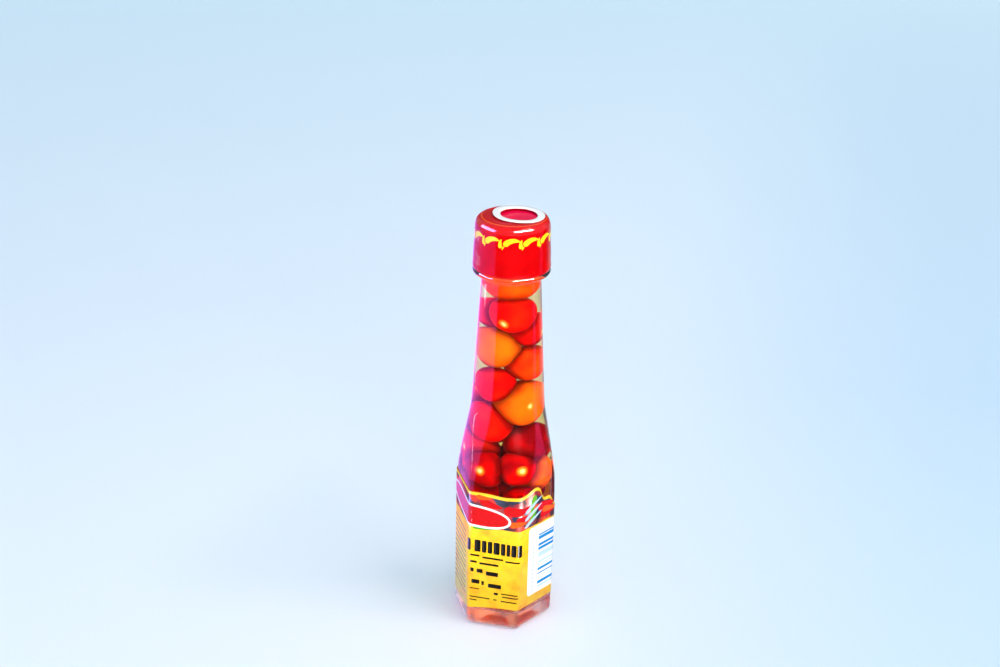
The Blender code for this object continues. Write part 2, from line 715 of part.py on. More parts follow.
def main():
    clear_scene()
    parts = collection("bottled_chilies")
    helpers = collection("cutters", hidden=True)
    glass = material("clear_glass", (0.93, 0.97, 0.96), 0.03, transmission=1.0)
    brine = material("brine", (0.93, 0.85, 0.52), 0.05, transmission=1.0)
    cap_red = material("cap_plastic", (0.62, 0.01, 0.02), 0.3)
    film_red = material("seal_film", (0.72, 0.01, 0.02), 0.2)
    foam = material("sealing_foam", (0.85, 0.85, 0.82), 0.8)
    paper = material("label_film", (0.95, 0.72, 0.02), 0.3)
    skins = [
        material("chili_orange", (0.85, 0.13, 0.01), 0.35),
        material("chili_scarlet", (0.72, 0.03, 0.008), 0.35),
        material("chili_red", (0.60, 0.012, 0.008), 0.35),
    ]
    build_bottle(parts, glass)
    build_cap(parts, cap_red)
    build_disc(parts, foam)
    build_seal(parts, film_red)
    build_label(parts, paper)
    packed = fruits()
    radii = np.array([radius for _, radius, _, _ in packed])
    centres = settle(np.array([centre for centre, _, _, _ in packed]), radii)
    build_chilies(centres, radii, packed, parts, skins)
    build_brine(centres, radii, parts, helpers, brine)


main()
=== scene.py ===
import json
import math

import bmesh
import bpy
import numpy as np
from mathutils import Matrix, Vector


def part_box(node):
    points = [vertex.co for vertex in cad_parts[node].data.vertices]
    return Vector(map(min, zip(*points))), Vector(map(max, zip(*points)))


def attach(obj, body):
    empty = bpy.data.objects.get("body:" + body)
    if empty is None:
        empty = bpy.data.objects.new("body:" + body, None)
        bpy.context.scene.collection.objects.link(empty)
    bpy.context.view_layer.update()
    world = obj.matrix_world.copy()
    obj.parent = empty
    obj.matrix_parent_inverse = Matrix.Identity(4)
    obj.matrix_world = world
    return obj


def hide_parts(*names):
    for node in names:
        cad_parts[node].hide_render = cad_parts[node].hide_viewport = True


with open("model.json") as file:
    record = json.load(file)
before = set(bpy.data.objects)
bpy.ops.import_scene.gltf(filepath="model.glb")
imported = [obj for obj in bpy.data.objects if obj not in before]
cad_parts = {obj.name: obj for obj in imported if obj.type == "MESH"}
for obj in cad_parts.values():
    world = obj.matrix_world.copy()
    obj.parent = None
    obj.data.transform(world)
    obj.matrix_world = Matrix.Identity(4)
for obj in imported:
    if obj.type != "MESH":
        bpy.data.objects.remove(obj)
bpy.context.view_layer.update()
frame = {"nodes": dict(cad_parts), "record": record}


# Camera
# The bottle is seen from a little above and a little to the right of its front facet, through a
# short telephoto lens. The view turns round the bottle's axis, measured from the front facet.

MM = 0.001
VIEW_TURN = math.radians(12.64)
CAMERA_AWAY = 488.7 * MM
CAMERA_HEIGHT = 331.2 * MM
CAMERA_PITCH = math.radians(23.64)
CAMERA_YAW = math.radians(-0.42)
CAMERA_ROLL = math.radians(1.43)
LENS = 52.4
FULL_FRAME = 36.0
NEAREST = 10.0 * MM
BOUNCES_IN_GLASS = 28

camera_data = bpy.data.cameras.new("camera")
camera_data.lens = LENS
camera_data.sensor_width = FULL_FRAME
camera_data.clip_start = NEAREST
camera = bpy.data.objects.new("camera", camera_data)
bpy.context.scene.collection.objects.link(camera)
forward = Vector((
    math.sin(CAMERA_YAW) * math.cos(CAMERA_PITCH),
    math.cos(CAMERA_YAW) * math.cos(CAMERA_PITCH),
    -math.sin(CAMERA_PITCH),
))
level_right = forward.cross(Vector((0, 0, 1))).normalized()
level_up = level_right.cross(forward)
tilted_right = math.cos(CAMERA_ROLL) * level_right + math.sin(CAMERA_ROLL) * level_up
axes = Matrix((tilted_right, tilted_right.cross(forward), -forward)).transposed().to_4x4()
turn = Matrix.Rotation(VIEW_TURN, 4, "Z")
camera.matrix_world = turn @ Matrix.Translation((0, -CAMERA_AWAY, CAMERA_HEIGHT)) @ axes
bpy.context.scene.camera = camera
bpy.context.scene.view_settings.view_transform = "Standard"
bpy.context.scene.cycles.max_bounces = BOUNCES_IN_GLASS
bpy.context.scene.cycles.transmission_bounces = BOUNCES_IN_GLASS


# Floor and studio light
# A pale painted board in a light tent. Low down, where the glass mirrors it, the tent has a lavender
# panel with a sharp front edge and a small window on the left, a pink wall and strip on the right, a
# pale wall behind and a dark opening in front. Two strip lights only show as streaks on gloss.


def rise(degrees):
    """Height, from -1 to 1, of a direction that looks up by an angle: the angle's sine."""
    return math.sin(math.radians(degrees))


# Painted light and shade on the board: a lit colour on the left and far back, a shaded bluer one on the
# right.
FLOOR_HALF = 6.0
FLOOR_LIT_LEFT = "#E4EBF3"
FLOOR_SHADED_RIGHT = "#C4D9EA"
FLOOR_SPAN = (-0.06, 0.22)
FLOOR_LIT_FAR = "#EEF8FC"
FAR_SPAN = (0.25, 1.4)
TENT_COLOUR = "#D6EEFF"
# Headings are counted from the front, in radians. A wall has its two edges in degrees, and its brightness.
BACK_HEADINGS = (2.3, 2.8)
BACK_WALL = 0.8
OPENING = 0.03
PANEL_COLOUR = "#D080FF"
PANEL_LOW_COLOUR = "#58A4CC"
PANEL_TURNS = (rise(-32.8), rise(-31.2))
LEFT_WALL = (-165.0, -36.0, 1.9)
RIGHT_COLOUR = "#FF58B4"
RIGHT_WALL = (86.0, 150.0, 0.42)
RIGHT_WALL_TOP = rise(-21.8)
RIGHT_STRIP = (102.5, 113.0, 1.5)
WINDOW_COLOUR = "#E8E0FF"
WINDOW_PANES = ((-117.0, -107.0, 7.0), (-104.0, -94.0, 6.0))
WINDOW_MIDDLE = rise(-18.35)
WINDOW_HALF = 0.0066
GROUND_COLOUR = "#EEE8F4"
GROUND_FROM = rise(-39.0)
GROUND_FULL = rise(-50.0)
CEILING_FROM = rise(-9.0)
CEILING_FULL = rise(-3.0)
DIM_BEHIND = 0.2
DIM_HEADINGS = (2.3, 2.6)
DIM_TOP = rise(34.0)
DIM_EDGE = 0.08


def linear(hexadecimal):
    """Turns an sRGB hex colour into linear red, green, blue and alpha."""
    channels = [int(hexadecimal[i:i + 2], 16) / 255.0 for i in (1, 3, 5)]
    return [c / 12.92 if c <= 0.04045 else ((c + 0.055) / 1.055) ** 2.4 for c in channels] + [1.0]


def add(tree, kind, values=None, **settings):
    """Adds one node to a tree. A value may be a number, a colour, or another node's output socket."""
    made = tree.nodes.new(kind)
    for key, value in settings.items():
        setattr(made, key, value)
    for key, value in (values or {}).items():
        if isinstance(value, bpy.types.NodeSocket):
            tree.links.new(value, made.inputs[key])
        else:
            made.inputs[key].default_value = value
    return made


def finish(name, colour, roughness, ior=1.5, **sockets):
    """A new material of one colour, with its tree and its shader, to which a section adds its pattern."""
    made = bpy.data.materials.new(name)
    made.use_nodes = True
    shader = made.node_tree.nodes["Principled BSDF"]
    shader.inputs["Base Color"].default_value = linear(colour)
    shader.inputs["Roughness"].default_value = roughness
    shader.inputs["IOR"].default_value = ior
    for key, value in sockets.items():
        shader.inputs[key.replace("_", " ")].default_value = value
    return made, made.node_tree, shader


floor_mesh = bpy.data.meshes.new("floor")
floor_corners = [(x * FLOOR_HALF, y * FLOOR_HALF, 0.0) for x, y in ((-1, -1), (1, -1), (1, 1), (-1, 1))]
floor_mesh.from_pydata(floor_corners, [], [(0, 1, 2, 3)])
floor = bpy.data.objects.new("floor", floor_mesh)
bpy.context.scene.collection.objects.link(floor)
# Painted board: matt, so it takes soft shadows. Light and shade are painted into its colour: paler on
# the left and far back, where more light falls, and bluer on the right.
floor_finish, floor_tree, floor_shader = finish("painted_board", FLOOR_LIT_LEFT, 0.9, Specular_IOR_Level=0.0)
on_floor = add(floor_tree, "ShaderNodeTexCoord").outputs["Object"]
on_floor = add(floor_tree, "ShaderNodeSeparateXYZ", {0: on_floor}).outputs
rightwards = add(floor_tree, "ShaderNodeMapRange", {
    "Value": on_floor["X"], "From Min": FLOOR_SPAN[0], "From Max": FLOOR_SPAN[1],
}, interpolation_type="SMOOTHSTEP").outputs[0]
farther = add(floor_tree, "ShaderNodeMapRange", {
    "Value": on_floor["Y"], "From Min": FAR_SPAN[0], "From Max": FAR_SPAN[1]}).outputs[0]
painted = add(floor_tree, "ShaderNodeMix", {
    0: rightwards, 6: linear(FLOOR_LIT_LEFT), 7: linear(FLOOR_SHADED_RIGHT)}, data_type="RGBA").outputs[2]
painted = add(floor_tree, "ShaderNodeMix", {
    0: farther, 6: painted, 7: linear(FLOOR_LIT_FAR)}, data_type="RGBA").outputs[2]
floor_tree.links.new(painted, floor_shader.inputs["Base Color"])
floor_mesh.materials.append(floor_finish)
floor.visible_glossy = False

world = bpy.data.worlds.new("light_tent")
world.use_nodes = True
bpy.context.scene.world = world
tent_tree = world.node_tree
tent_tree.nodes.clear()
aim = add(tent_tree, "ShaderNodeTexCoord").outputs["Generated"]
aim = add(tent_tree, "ShaderNodeSeparateXYZ", {0: aim}).outputs
ahead = add(tent_tree, "ShaderNodeMath", {0: aim["Y"], 1: -1.0}, operation="MULTIPLY").outputs[0]
heading = add(tent_tree, "ShaderNodeMath", {0: aim["X"], 1: ahead}, operation="ARCTAN2").outputs[0]
turned_away = add(tent_tree, "ShaderNodeMath", {0: heading}, operation="ABSOLUTE").outputs[0]


def wall(low, high, brightness, edge=0.012):
    """Brightness between two headings in degrees, with a narrow edge."""
    middle = math.radians((low + high) / 2)
    half = math.radians((high - low) / 2)
    off = add(tent_tree, "ShaderNodeMath", {0: heading, 1: middle}, operation="SUBTRACT").outputs[0]
    away = add(tent_tree, "ShaderNodeMath", {0: off}, operation="ABSOLUTE").outputs[0]
    return add(tent_tree, "ShaderNodeMapRange", {
        "Value": away, "From Min": half - edge, "From Max": half + edge,
        "To Min": brightness, "To Max": 0.0}).outputs[0]


back = add(tent_tree, "ShaderNodeMapRange", {
    "Value": turned_away, "From Min": BACK_HEADINGS[0], "From Max": BACK_HEADINGS[1],
    "To Min": OPENING, "To Max": BACK_WALL}).outputs[0]
above_wall = add(tent_tree, "ShaderNodeMath", {
    0: aim["Z"], 1: RIGHT_WALL_TOP}, operation="GREATER_THAN").outputs[0]
below_wall = add(tent_tree, "ShaderNodeMath", {
    0: aim["Z"], 1: RIGHT_WALL_TOP}, operation="LESS_THAN").outputs[0]
low_right = add(tent_tree, "ShaderNodeMath", {
    0: wall(*RIGHT_WALL), 1: below_wall}, operation="MULTIPLY").outputs[0]
high_right = add(tent_tree, "ShaderNodeMath", {
    0: wall(*RIGHT_STRIP), 1: above_wall}, operation="MULTIPLY").outputs[0]
on_right = add(tent_tree, "ShaderNodeMath", {0: low_right, 1: high_right}, operation="MAXIMUM").outputs[0]
panel_turn = add(tent_tree, "ShaderNodeMapRange", {
    "Value": aim["Z"], "From Min": PANEL_TURNS[0], "From Max": PANEL_TURNS[1]}).outputs[0]
panel = add(tent_tree, "ShaderNodeMix", {
    0: panel_turn, 6: linear(PANEL_LOW_COLOUR), 7: linear(PANEL_COLOUR)}, data_type="RGBA").outputs[2]
panel = add(tent_tree, "ShaderNodeVectorMath", {
    0: panel, "Scale": wall(*LEFT_WALL)}, operation="SCALE").outputs[0]
at_window = add(tent_tree, "ShaderNodeMath", {
    0: aim["Z"], 1: WINDOW_MIDDLE, 2: WINDOW_HALF}, operation="COMPARE").outputs[0]
panes = add(tent_tree, "ShaderNodeMath", {
    0: wall(*WINDOW_PANES[0]), 1: wall(*WINDOW_PANES[1])}, operation="ADD").outputs[0]
panes = add(tent_tree, "ShaderNodeMath", {0: panes, 1: at_window}, operation="MULTIPLY").outputs[0]
walls = panel
for colour, brightness in ((TENT_COLOUR, back), (RIGHT_COLOUR, on_right), (WINDOW_COLOUR, panes)):
    lit = add(tent_tree, "ShaderNodeVectorMath", {
        0: linear(colour)[:3], "Scale": brightness}, operation="SCALE").outputs[0]
    walls = add(tent_tree, "ShaderNodeVectorMath", {0: walls, 1: lit}, operation="ADD").outputs[0]
underfoot = add(tent_tree, "ShaderNodeMapRange", {
    "Value": aim["Z"], "From Min": GROUND_FROM, "From Max": GROUND_FULL}).outputs[0]
walls = add(tent_tree, "ShaderNodeMix", {
    0: underfoot, 6: walls, 7: linear(GROUND_COLOUR)}, data_type="RGBA").outputs[2]
dim_heading = add(tent_tree, "ShaderNodeMapRange", {
    "Value": turned_away, "From Min": DIM_HEADINGS[0], "From Max": DIM_HEADINGS[1]}).outputs[0]
dim_height = add(tent_tree, "ShaderNodeMapRange", {
    "Value": aim["Z"], "From Min": DIM_TOP + DIM_EDGE, "From Max": DIM_TOP}).outputs[0]
dimmed = [DIM_BEHIND * c for c in linear(TENT_COLOUR)[:3]] + [1.0]
dim = add(tent_tree, "ShaderNodeMath", {0: dim_heading, 1: dim_height}, operation="MULTIPLY").outputs[0]
ceiling = add(tent_tree, "ShaderNodeMix", {
    0: dim, 6: linear(TENT_COLOUR), 7: dimmed}, data_type="RGBA").outputs[2]
overhead = add(tent_tree, "ShaderNodeMapRange", {
    "Value": aim["Z"], "From Min": CEILING_FROM, "From Max": CEILING_FULL,
}, interpolation_type="SMOOTHSTEP").outputs[0]
light = add(tent_tree, "ShaderNodeMix", {0: overhead, 6: walls, 7: ceiling}, data_type="RGBA").outputs[2]
shining = add(tent_tree, "ShaderNodeBackground", {"Color": light}).outputs[0]
add(tent_tree, "ShaderNodeOutputWorld", {"Surface": shining})


def lamp(name, stand, target, size, power, colour, in_reflections):
    """A soft light of a width and a height, where it stands, aimed at a point."""
    data = bpy.data.lights.new(name, "AREA")
    data.shape = "RECTANGLE"
    data.size, data.size_y = size
    data.energy = power
    data.color = linear(colour)[:3]
    made = bpy.data.objects.new(name, data)
    made.location = stand
    made.rotation_euler = (Vector(stand) - Vector(target)).to_track_quat("Z", "Y").to_euler()
    made.visible_glossy = in_reflections
    bpy.context.scene.collection.objects.link(made)
    return made


lamp("key_light", (0.55, -0.15, 0.95), (0, 0, 0.08), (0.55, 0.14), 4.6, "#FFE6D4", True)
lamp("front_fill", (0.4, -1.1, 0.24), (0, 0, 0.09), (0.8, 0.4), 12.0, "#FFEBDC", False)
for name, stand, size, power, colour in (
        ("right_strip", (0.58, -0.50, 0.62), (1.0, 0.26), 70.0, "#FFFFFF"),
        ("left_strip", (-0.83, -0.32, 0.38), (0.9, 0.4), 60.0, "#C8A8FF")):
    strip_light = lamp(name, stand, (0, 0, 0.16), size, power, colour, True)
    strip_light.visible_diffuse = False
    strip_light.visible_transmission = False


# Bottle
# One piece of clear glass, blown in a mould: a hexagonal body, facets that lean in and run out as
# arches into a round conical neck, a carrying bead, a threaded mouth and a thick base with a stippled
# foot. Its skin is an outer and an inner surface, each the softened smaller of a hexagon and a cone.

foot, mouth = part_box("bottle")
FLATS_HALF = foot[1] * -1.0
RIM_Z = mouth[2]
CORNER_ROUND = 2.5 * MM
WALL = 2.0 * MM
INNER_CORNER_ROUND = 5.0 * MM
FACET_TURN_Z = 62.0 * MM
FACET_END_Z = 88.0 * MM
FACET_SLANT = 0.10
FACET_BLEND = 26.0
SHOULDER_TOP_Z = 89.0 * MM
SHOULDER_TOP_R = 13.75 * MM
SHOULDER_SLOPE = 0.209
NECK_TOP_Z = 139.5 * MM
NECK_TOP_R = 10.85 * MM
NECK_END_Z = 140.6 * MM
NECK_FILLET = 1.4 * MM
SHOULDER_SOFT = 2.0 * MM
HEEL_ROUND = 2.8 * MM
FOOT_WIDTH = 3.0 * MM
PUSH_UP = 1.1 * MM
BEAD_Z = 143.1 * MM
BEAD_R = 14.15 * MM
BEAD_HALF = 1.1 * MM
BEAD_HEAD = 1.5 * MM
BEAD_TURN = 80.0
FINISH_R = 10.9 * MM
THREAD_R = 12.0 * MM
THREAD_PITCH = 3.175 * MM
THREAD_LOW_Z = 148.6 * MM
THREAD_TURNS = 1.75
BORE_R = 8.7 * MM
BORE_FOOT_Z = 143.0 * MM
BORE_FLARE = 5.0 * MM
RIPPLE = 0.10 * MM
RIPPLE_LONG = 17.0 * MM
RIPPLE_SHORT = 9.0 * MM
RIM_ROUND = 0.6 * MM
FLOOR_TOP = 5.6 * MM
FLOOR_DOME = 0.7 * MM
INNER_HEEL = 3.2 * MM
GLASS_COLUMNS = 204


def hexagon_radius(angle, flats_half, rounding):
    """Distance from the axis to a hexagon with round corners: the flat, or past it the corner's arc."""
    from_facet = (angle + math.pi / 6) % (math.pi / 3) - math.pi / 6
    from_corner = math.pi / 6 - np.abs(from_facet)
    corner = (flats_half - rounding) / math.cos(math.pi / 6)
    turn_off = np.arctan((flats_half - rounding) * math.tan(math.pi / 6) / flats_half)
    arc = corner * np.cos(from_corner) + np.sqrt(
        np.maximum(rounding**2 - (corner * np.sin(from_corner)) ** 2, 0.0))
    return np.where(np.abs(from_facet) <= turn_off, flats_half / np.cos(from_facet), arc)


def glass_radius(angle, height, inset, rounding):
    """Distance from the axis to the side: hexagon and cone blended by a high negative power mean."""
    flats = FLATS_HALF - FACET_SLANT * (np.clip(height, FACET_TURN_Z, FACET_END_Z) - FACET_TURN_Z)
    neck_slope = (SHOULDER_TOP_R - NECK_TOP_R) / (NECK_TOP_Z - SHOULDER_TOP_Z)
    below = SHOULDER_TOP_Z - height
    soft = SHOULDER_SOFT * np.logaddexp(0.0, below / SHOULDER_SOFT)
    cone = SHOULDER_TOP_R + neck_slope * below + (SHOULDER_SLOPE - neck_slope) * soft - inset
    side = hexagon_radius(angle, flats - inset, rounding)
    return (side**-FACET_BLEND + cone**-FACET_BLEND) ** (-1.0 / FACET_BLEND)


def smooth(value):
    """A smooth step from 0 to 1 as a value goes from 0 to 1."""
    value = np.clip(value, 0.0, 1.0)
    return value * value * (3.0 - 2.0 * value)


def thread_rise(angle, height, ridge):
    """A helical ridge: its rise depends on how far a point lies from the nearest turn of the helix."""
    turns = (height - THREAD_LOW_Z) / THREAD_PITCH - angle / (2.0 * math.pi)
    nearest = np.round(turns)
    along = nearest + angle / (2.0 * math.pi)
    faded = smooth(along / 0.15) * smooth((THREAD_TURNS - along) / 0.15)
    across = np.abs(turns - nearest) * THREAD_PITCH
    return ridge * faded * (1.0 - smooth((across - 0.25 * MM) / (0.35 * MM)))


def ring_rows(angle, radius, height):
    """Points of one or more rows, from radii and heights that broadcast over the angles."""
    radius, height, angle = np.broadcast_arrays(radius, height, angle)
    return np.stack([radius * np.sin(angle), -radius * np.cos(angle), height], axis=-1)


def inner_rows(angle, top, grown=0.0):
    """The hollow's side from the bore down, its rounded heel, and its slightly domed floor. Two crossed
    sine waves lay the faint ripple of blown glass on the side."""
    rows = []
    bore = np.linspace(top, BORE_FOOT_Z, 24)[:-1, None]
    rows.append(ring_rows(angle, BORE_R + grown, bore))
    side = np.linspace(BORE_FOOT_Z, FLOOR_TOP + INNER_HEEL, 130)[:, None]
    ease = smooth((BORE_FOOT_Z - side) / BORE_FLARE)
    ripple = RIPPLE * np.sin(side / RIPPLE_SHORT + 2.0 * angle) * np.sin(3.0 * angle + side / RIPPLE_LONG)
    wall_radius = glass_radius(angle, np.minimum(side, NECK_TOP_Z), WALL, INNER_CORNER_ROUND)
    wall_radius = ease * (wall_radius + ripple) + (1.0 - ease) * BORE_R
    rows.append(ring_rows(angle, wall_radius + grown, side))
    turned = np.radians(np.linspace(90.0, 0.0, 10))[1:, None]
    pull = INNER_HEEL * (1.0 - np.sin(turned))
    heel_z = FLOOR_TOP + INNER_HEEL * (1.0 - np.cos(turned))
    heel_r = glass_radius(angle, heel_z, WALL, INNER_CORNER_ROUND) - pull
    rows.append(ring_rows(angle, heel_r + grown, heel_z - grown))
    share = np.linspace(1.0, 0.0, 14)[1:, None]
    rows.append(ring_rows(angle, heel_r[-1:] * share, FLOOR_TOP - grown + FLOOR_DOME * smooth(1.0 - share)))
    return rows


def glass_rows(angle):
    """The whole skin: under the foot, round the heel, up the outside, over the rim, down the inside."""
    rows = []
    outline = glass_radius(angle, 0.0, 0.0, CORNER_ROUND)
    inside = outline - HEEL_ROUND - FOOT_WIDTH
    share = np.linspace(0.0, 1.0, 16)[:, None]
    rows.append(ring_rows(angle, inside * share, PUSH_UP * (1.0 - smooth((share - 0.35) / 0.65))))
    rows.append(ring_rows(angle, outline - HEEL_ROUND - FOOT_WIDTH / 2, 0.0)[None])
    turned = np.radians(np.linspace(0.0, 90.0, 12))[:, None]
    heel_z = HEEL_ROUND * (1.0 - np.cos(turned))
    rows.append(ring_rows(angle, outline - HEEL_ROUND * (1.0 - np.sin(turned)), heel_z))
    side = np.linspace(HEEL_ROUND, NECK_END_Z, 150)[1:, None]
    radius = glass_radius(angle, np.minimum(side, NECK_TOP_Z), 0.0, CORNER_ROUND)
    rows.append(ring_rows(angle, radius, side))
    neck = glass_radius(0.0, NECK_TOP_Z, 0.0, CORNER_ROUND)
    fillet = np.linspace(0.0, 1.0, 7)[1:-1, None]
    low_r = BEAD_R - BEAD_HALF * (1.0 - math.cos(math.radians(BEAD_TURN)))
    rows.append(ring_rows(angle, neck + (low_r - neck) * fillet**1.6, NECK_END_Z + NECK_FILLET * fillet))
    turned = np.radians(np.linspace(-BEAD_TURN, BEAD_TURN, 17))[:, None]
    bead = BEAD_R - BEAD_HALF * (1.0 - np.cos(turned))
    rows.append(ring_rows(angle, bead, BEAD_Z + BEAD_HALF * np.sin(turned)))
    finish_z = np.linspace(BEAD_Z + BEAD_HEAD, RIM_Z - RIM_ROUND, 80)[:, None]
    ridge = thread_rise(angle % (2.0 * math.pi), finish_z, THREAD_R - FINISH_R)
    rows.append(ring_rows(angle, FINISH_R + ridge, finish_z))
    turned = np.radians(np.linspace(0.0, 90.0, 7))[1:, None]
    over = RIM_Z - RIM_ROUND + RIM_ROUND * np.sin(turned)
    rows.append(ring_rows(angle, FINISH_R - RIM_ROUND * (1.0 - np.cos(turned)), over))
    turned = turned[::-1]
    over = RIM_Z - RIM_ROUND + RIM_ROUND * np.sin(turned)
    rows.append(ring_rows(angle, BORE_R + RIM_ROUND * (1.0 - np.cos(turned)), over))
    return np.concatenate(rows + inner_rows(angle, RIM_Z - RIM_ROUND))


def skin(name, grids, around=True, attributes=None, solid=True, merge=True):
    """A smooth mesh through grids of points, rows by columns. Rows drawn to one point become poles."""
    quads, first = [], 0
    for grid in grids:
        rows, columns = grid.shape[:2]
        index = first + np.arange(rows * columns).reshape(rows, columns)
        here, beside = (index, np.roll(index, -1, axis=1)) if around else (index[:, :-1], index[:, 1:])
        quads.append(np.stack([here[:-1], beside[:-1], beside[1:], here[1:]], axis=-1).reshape(-1, 4))
        first += rows * columns
    mesh = bpy.data.meshes.new(name)
    points = np.concatenate([grid.reshape(-1, 3) for grid in grids])
    mesh.from_pydata(points, [], np.concatenate(quads).tolist())
    for key, values in (attributes or {}).items():
        mesh.attributes.new(key, "FLOAT", "POINT").data.foreach_set("value", values.ravel())
    work = bmesh.new()
    work.from_mesh(mesh)
    if merge:
        bmesh.ops.remove_doubles(work, verts=work.verts, dist=0.0005 * MM)
    if solid:
        bmesh.ops.recalc_face_normals(work, faces=work.faces)
    work.to_mesh(mesh)
    work.free()
    mesh.shade_smooth()
    return mesh


def piece(name, mesh, material, slot, *nodes):
    """Puts a mesh in the scene as a piece of the object that rides on its body and stands for nodes."""
    made = bpy.data.objects.new(name, mesh)
    bpy.context.scene.collection.objects.link(made)
    mesh.materials.append(material)
    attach(made, "root")
    if nodes:
        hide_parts(*nodes)
    return made


FOOT_STIPPLE_TOP = 1.3 * MM
GLASS_IOR = 1.52
BRINE_IOR = 1.35
BRINE_TOP_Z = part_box("brine")[1][2]

# Flint glass, moulded and fire-polished: clear, with bright edges and sharp reflections.
glass, _, _ = finish("flint_glass", "#FFFFFF", 0.0, GLASS_IOR, Transmission_Weight=1.0)
# The same glass where brine wets it: light bends by the ratio of the two, so it mirrors very little.
wet_glass, _, _ = finish(
    "flint_glass_in_brine", "#FFFFFF", 0.0, GLASS_IOR / BRINE_IOR, Transmission_Weight=1.0)
# The stippled foot, cut into the mould as a grip for the conveyor: frosted, so it blurs the floor.
stippled_glass, _, _ = finish("stippled_flint_glass", "#FFFFFF", 0.45, GLASS_IOR, Transmission_Weight=1.0)

columns = np.linspace(0.0, 2.0 * math.pi, GLASS_COLUMNS, endpoint=False)
outer_and_inner = glass_rows(columns)
inner_count = sum(map(len, inner_rows(columns, RIM_Z)))
inside_rows = np.arange(len(outer_and_inner)) >= len(outer_and_inner) - inner_count
wetted = inside_rows[:, None] & (outer_and_inner[..., 2] < BRINE_TOP_Z)
bottle_mesh = skin("bottle_glass", [outer_and_inner], attributes={"wetted": wetted.astype(float)})
piece("bottle_glass", bottle_mesh, glass, "clear_glass", "bottle")
bottle_mesh.materials.append(wet_glass)
bottle_mesh.materials.append(stippled_glass)
corner_of_face = np.empty(len(bottle_mesh.loops), int)
bottle_mesh.loops.foreach_get("vertex_index", corner_of_face)
first_corner = np.empty(len(bottle_mesh.polygons), int)
bottle_mesh.polygons.foreach_get("loop_start", first_corner)
wet_corner = np.empty(len(bottle_mesh.vertices))
bottle_mesh.attributes["wetted"].data.foreach_get("value", wet_corner)
wet_face = np.minimum.reduceat(wet_corner[corner_of_face], first_corner) > 0.5
glass_points = np.empty(len(bottle_mesh.vertices) * 3)
bottle_mesh.vertices.foreach_get("co", glass_points)
face_top = np.maximum.reduceat(glass_points[2::3][corner_of_face], first_corner)
finish_of_face = np.where(wet_face, 1, np.where(face_top < FOOT_STIPPLE_TOP, 2, 0))
bottle_mesh.polygons.foreach_set("material_index", finish_of_face)


# Brine
# The pickling liquid fills the hollow round the fruits. It is clear and turns yellow with depth. Where
# it wets the glass, light bends by the ratio of the two, which the glass's wet side has. So the
# liquid's own skin, which lies a hair deep in the glass, bends nothing.

BRINE_OVERLAP = 0.06 * MM
BRINE_COLUMNS = 144
BRINE_TINT = "#FFE63F"
BRINE_DENSITY = 76.0
SURFACE_DIP = 0.5 * MM

# Salt brine: a clear liquid, pale yellow where it is thin and amber where light crosses all of it.
brine_finish, brine_tree, _ = finish("salt_brine", "#FFFFFF", 0.0, 1.0, Transmission_Weight=1.0)
absorbed = add(brine_tree, "ShaderNodeVolumeAbsorption", {
    "Color": linear(BRINE_TINT), "Density": BRINE_DENSITY}).outputs[0]
brine_tree.links.new(absorbed, brine_tree.nodes["Material Output"].inputs["Volume"])

columns = np.linspace(0.0, 2.0 * math.pi, BRINE_COLUMNS, endpoint=False)
share = np.linspace(0.0, 1.0, 8)[:, None]
surface = ring_rows(columns, (BORE_R + BRINE_OVERLAP) * share, BRINE_TOP_Z - SURFACE_DIP * (1.0 - share**4))
brine_grid = np.concatenate([surface] + inner_rows(columns, BRINE_TOP_Z, BRINE_OVERLAP))
piece("brine_liquid", skin("brine_liquid", [brine_grid]), brine_finish, "brine", "brine")


# Chili peppers
# Whole round fruits with thick waxy skin, pressed a little flat against their neighbours. Each is as
# ripe as its own plant left it, from orange to deep red. The stalk has come off and left a pale corky
# scar in a shallow dimple. No light gets into the nooks between them, so shade is painted dark there.

CHILI_SPOKES = 64
CHILI_RINGS = 44
SCAR_RADIUS = 1.3 * MM
SCAR_RISE = 0.25 * MM
SCAR_CORNERS = 18
DIMPLE = 0.35 * MM
CORK_GRAIN = 0.05 * MM
SPREAD = 12.0
GROWN = 1.06
HELD = 0.08 * MM
# Painted shade in the nooks between fruits: how far it fades and reaches, how deep and how dark red.
NOOK_FADE = 0.5
NOOK_REACH = 1.0 * MM
PAINTED_SHADE_DEPTH = 0.72
PAINTED_SHADE_COLOUR = "#5C0200"
MOTTLE = 7.14 * MM
RIPENESS = {
    "chili_01": 0.32, "chili_02": 0.62, "chili_03": 0.66, "chili_04": 0.66, "chili_05": 0.08,
    "chili_06": 0.4, "chili_07": 0.7, "chili_08": 0.12, "chili_09": 0.75, "chili_10": 0.72,
    "chili_11": 0.97, "chili_12": 0.95, "chili_13": 0.65, "chili_14": 0.85, "chili_15": 0.84,
    "chili_16": 0.25, "chili_19": 0.72, "chili_20": 0.6, "chili_21": 0.2,
    "chili_31": 0.86, "chili_32": 0.84, "chili_33": 0.88,
}
RIPENESS_OF_SLOT = {"chili_orange": 0.15, "chili_scarlet": 0.5, "chili_red": 0.85}


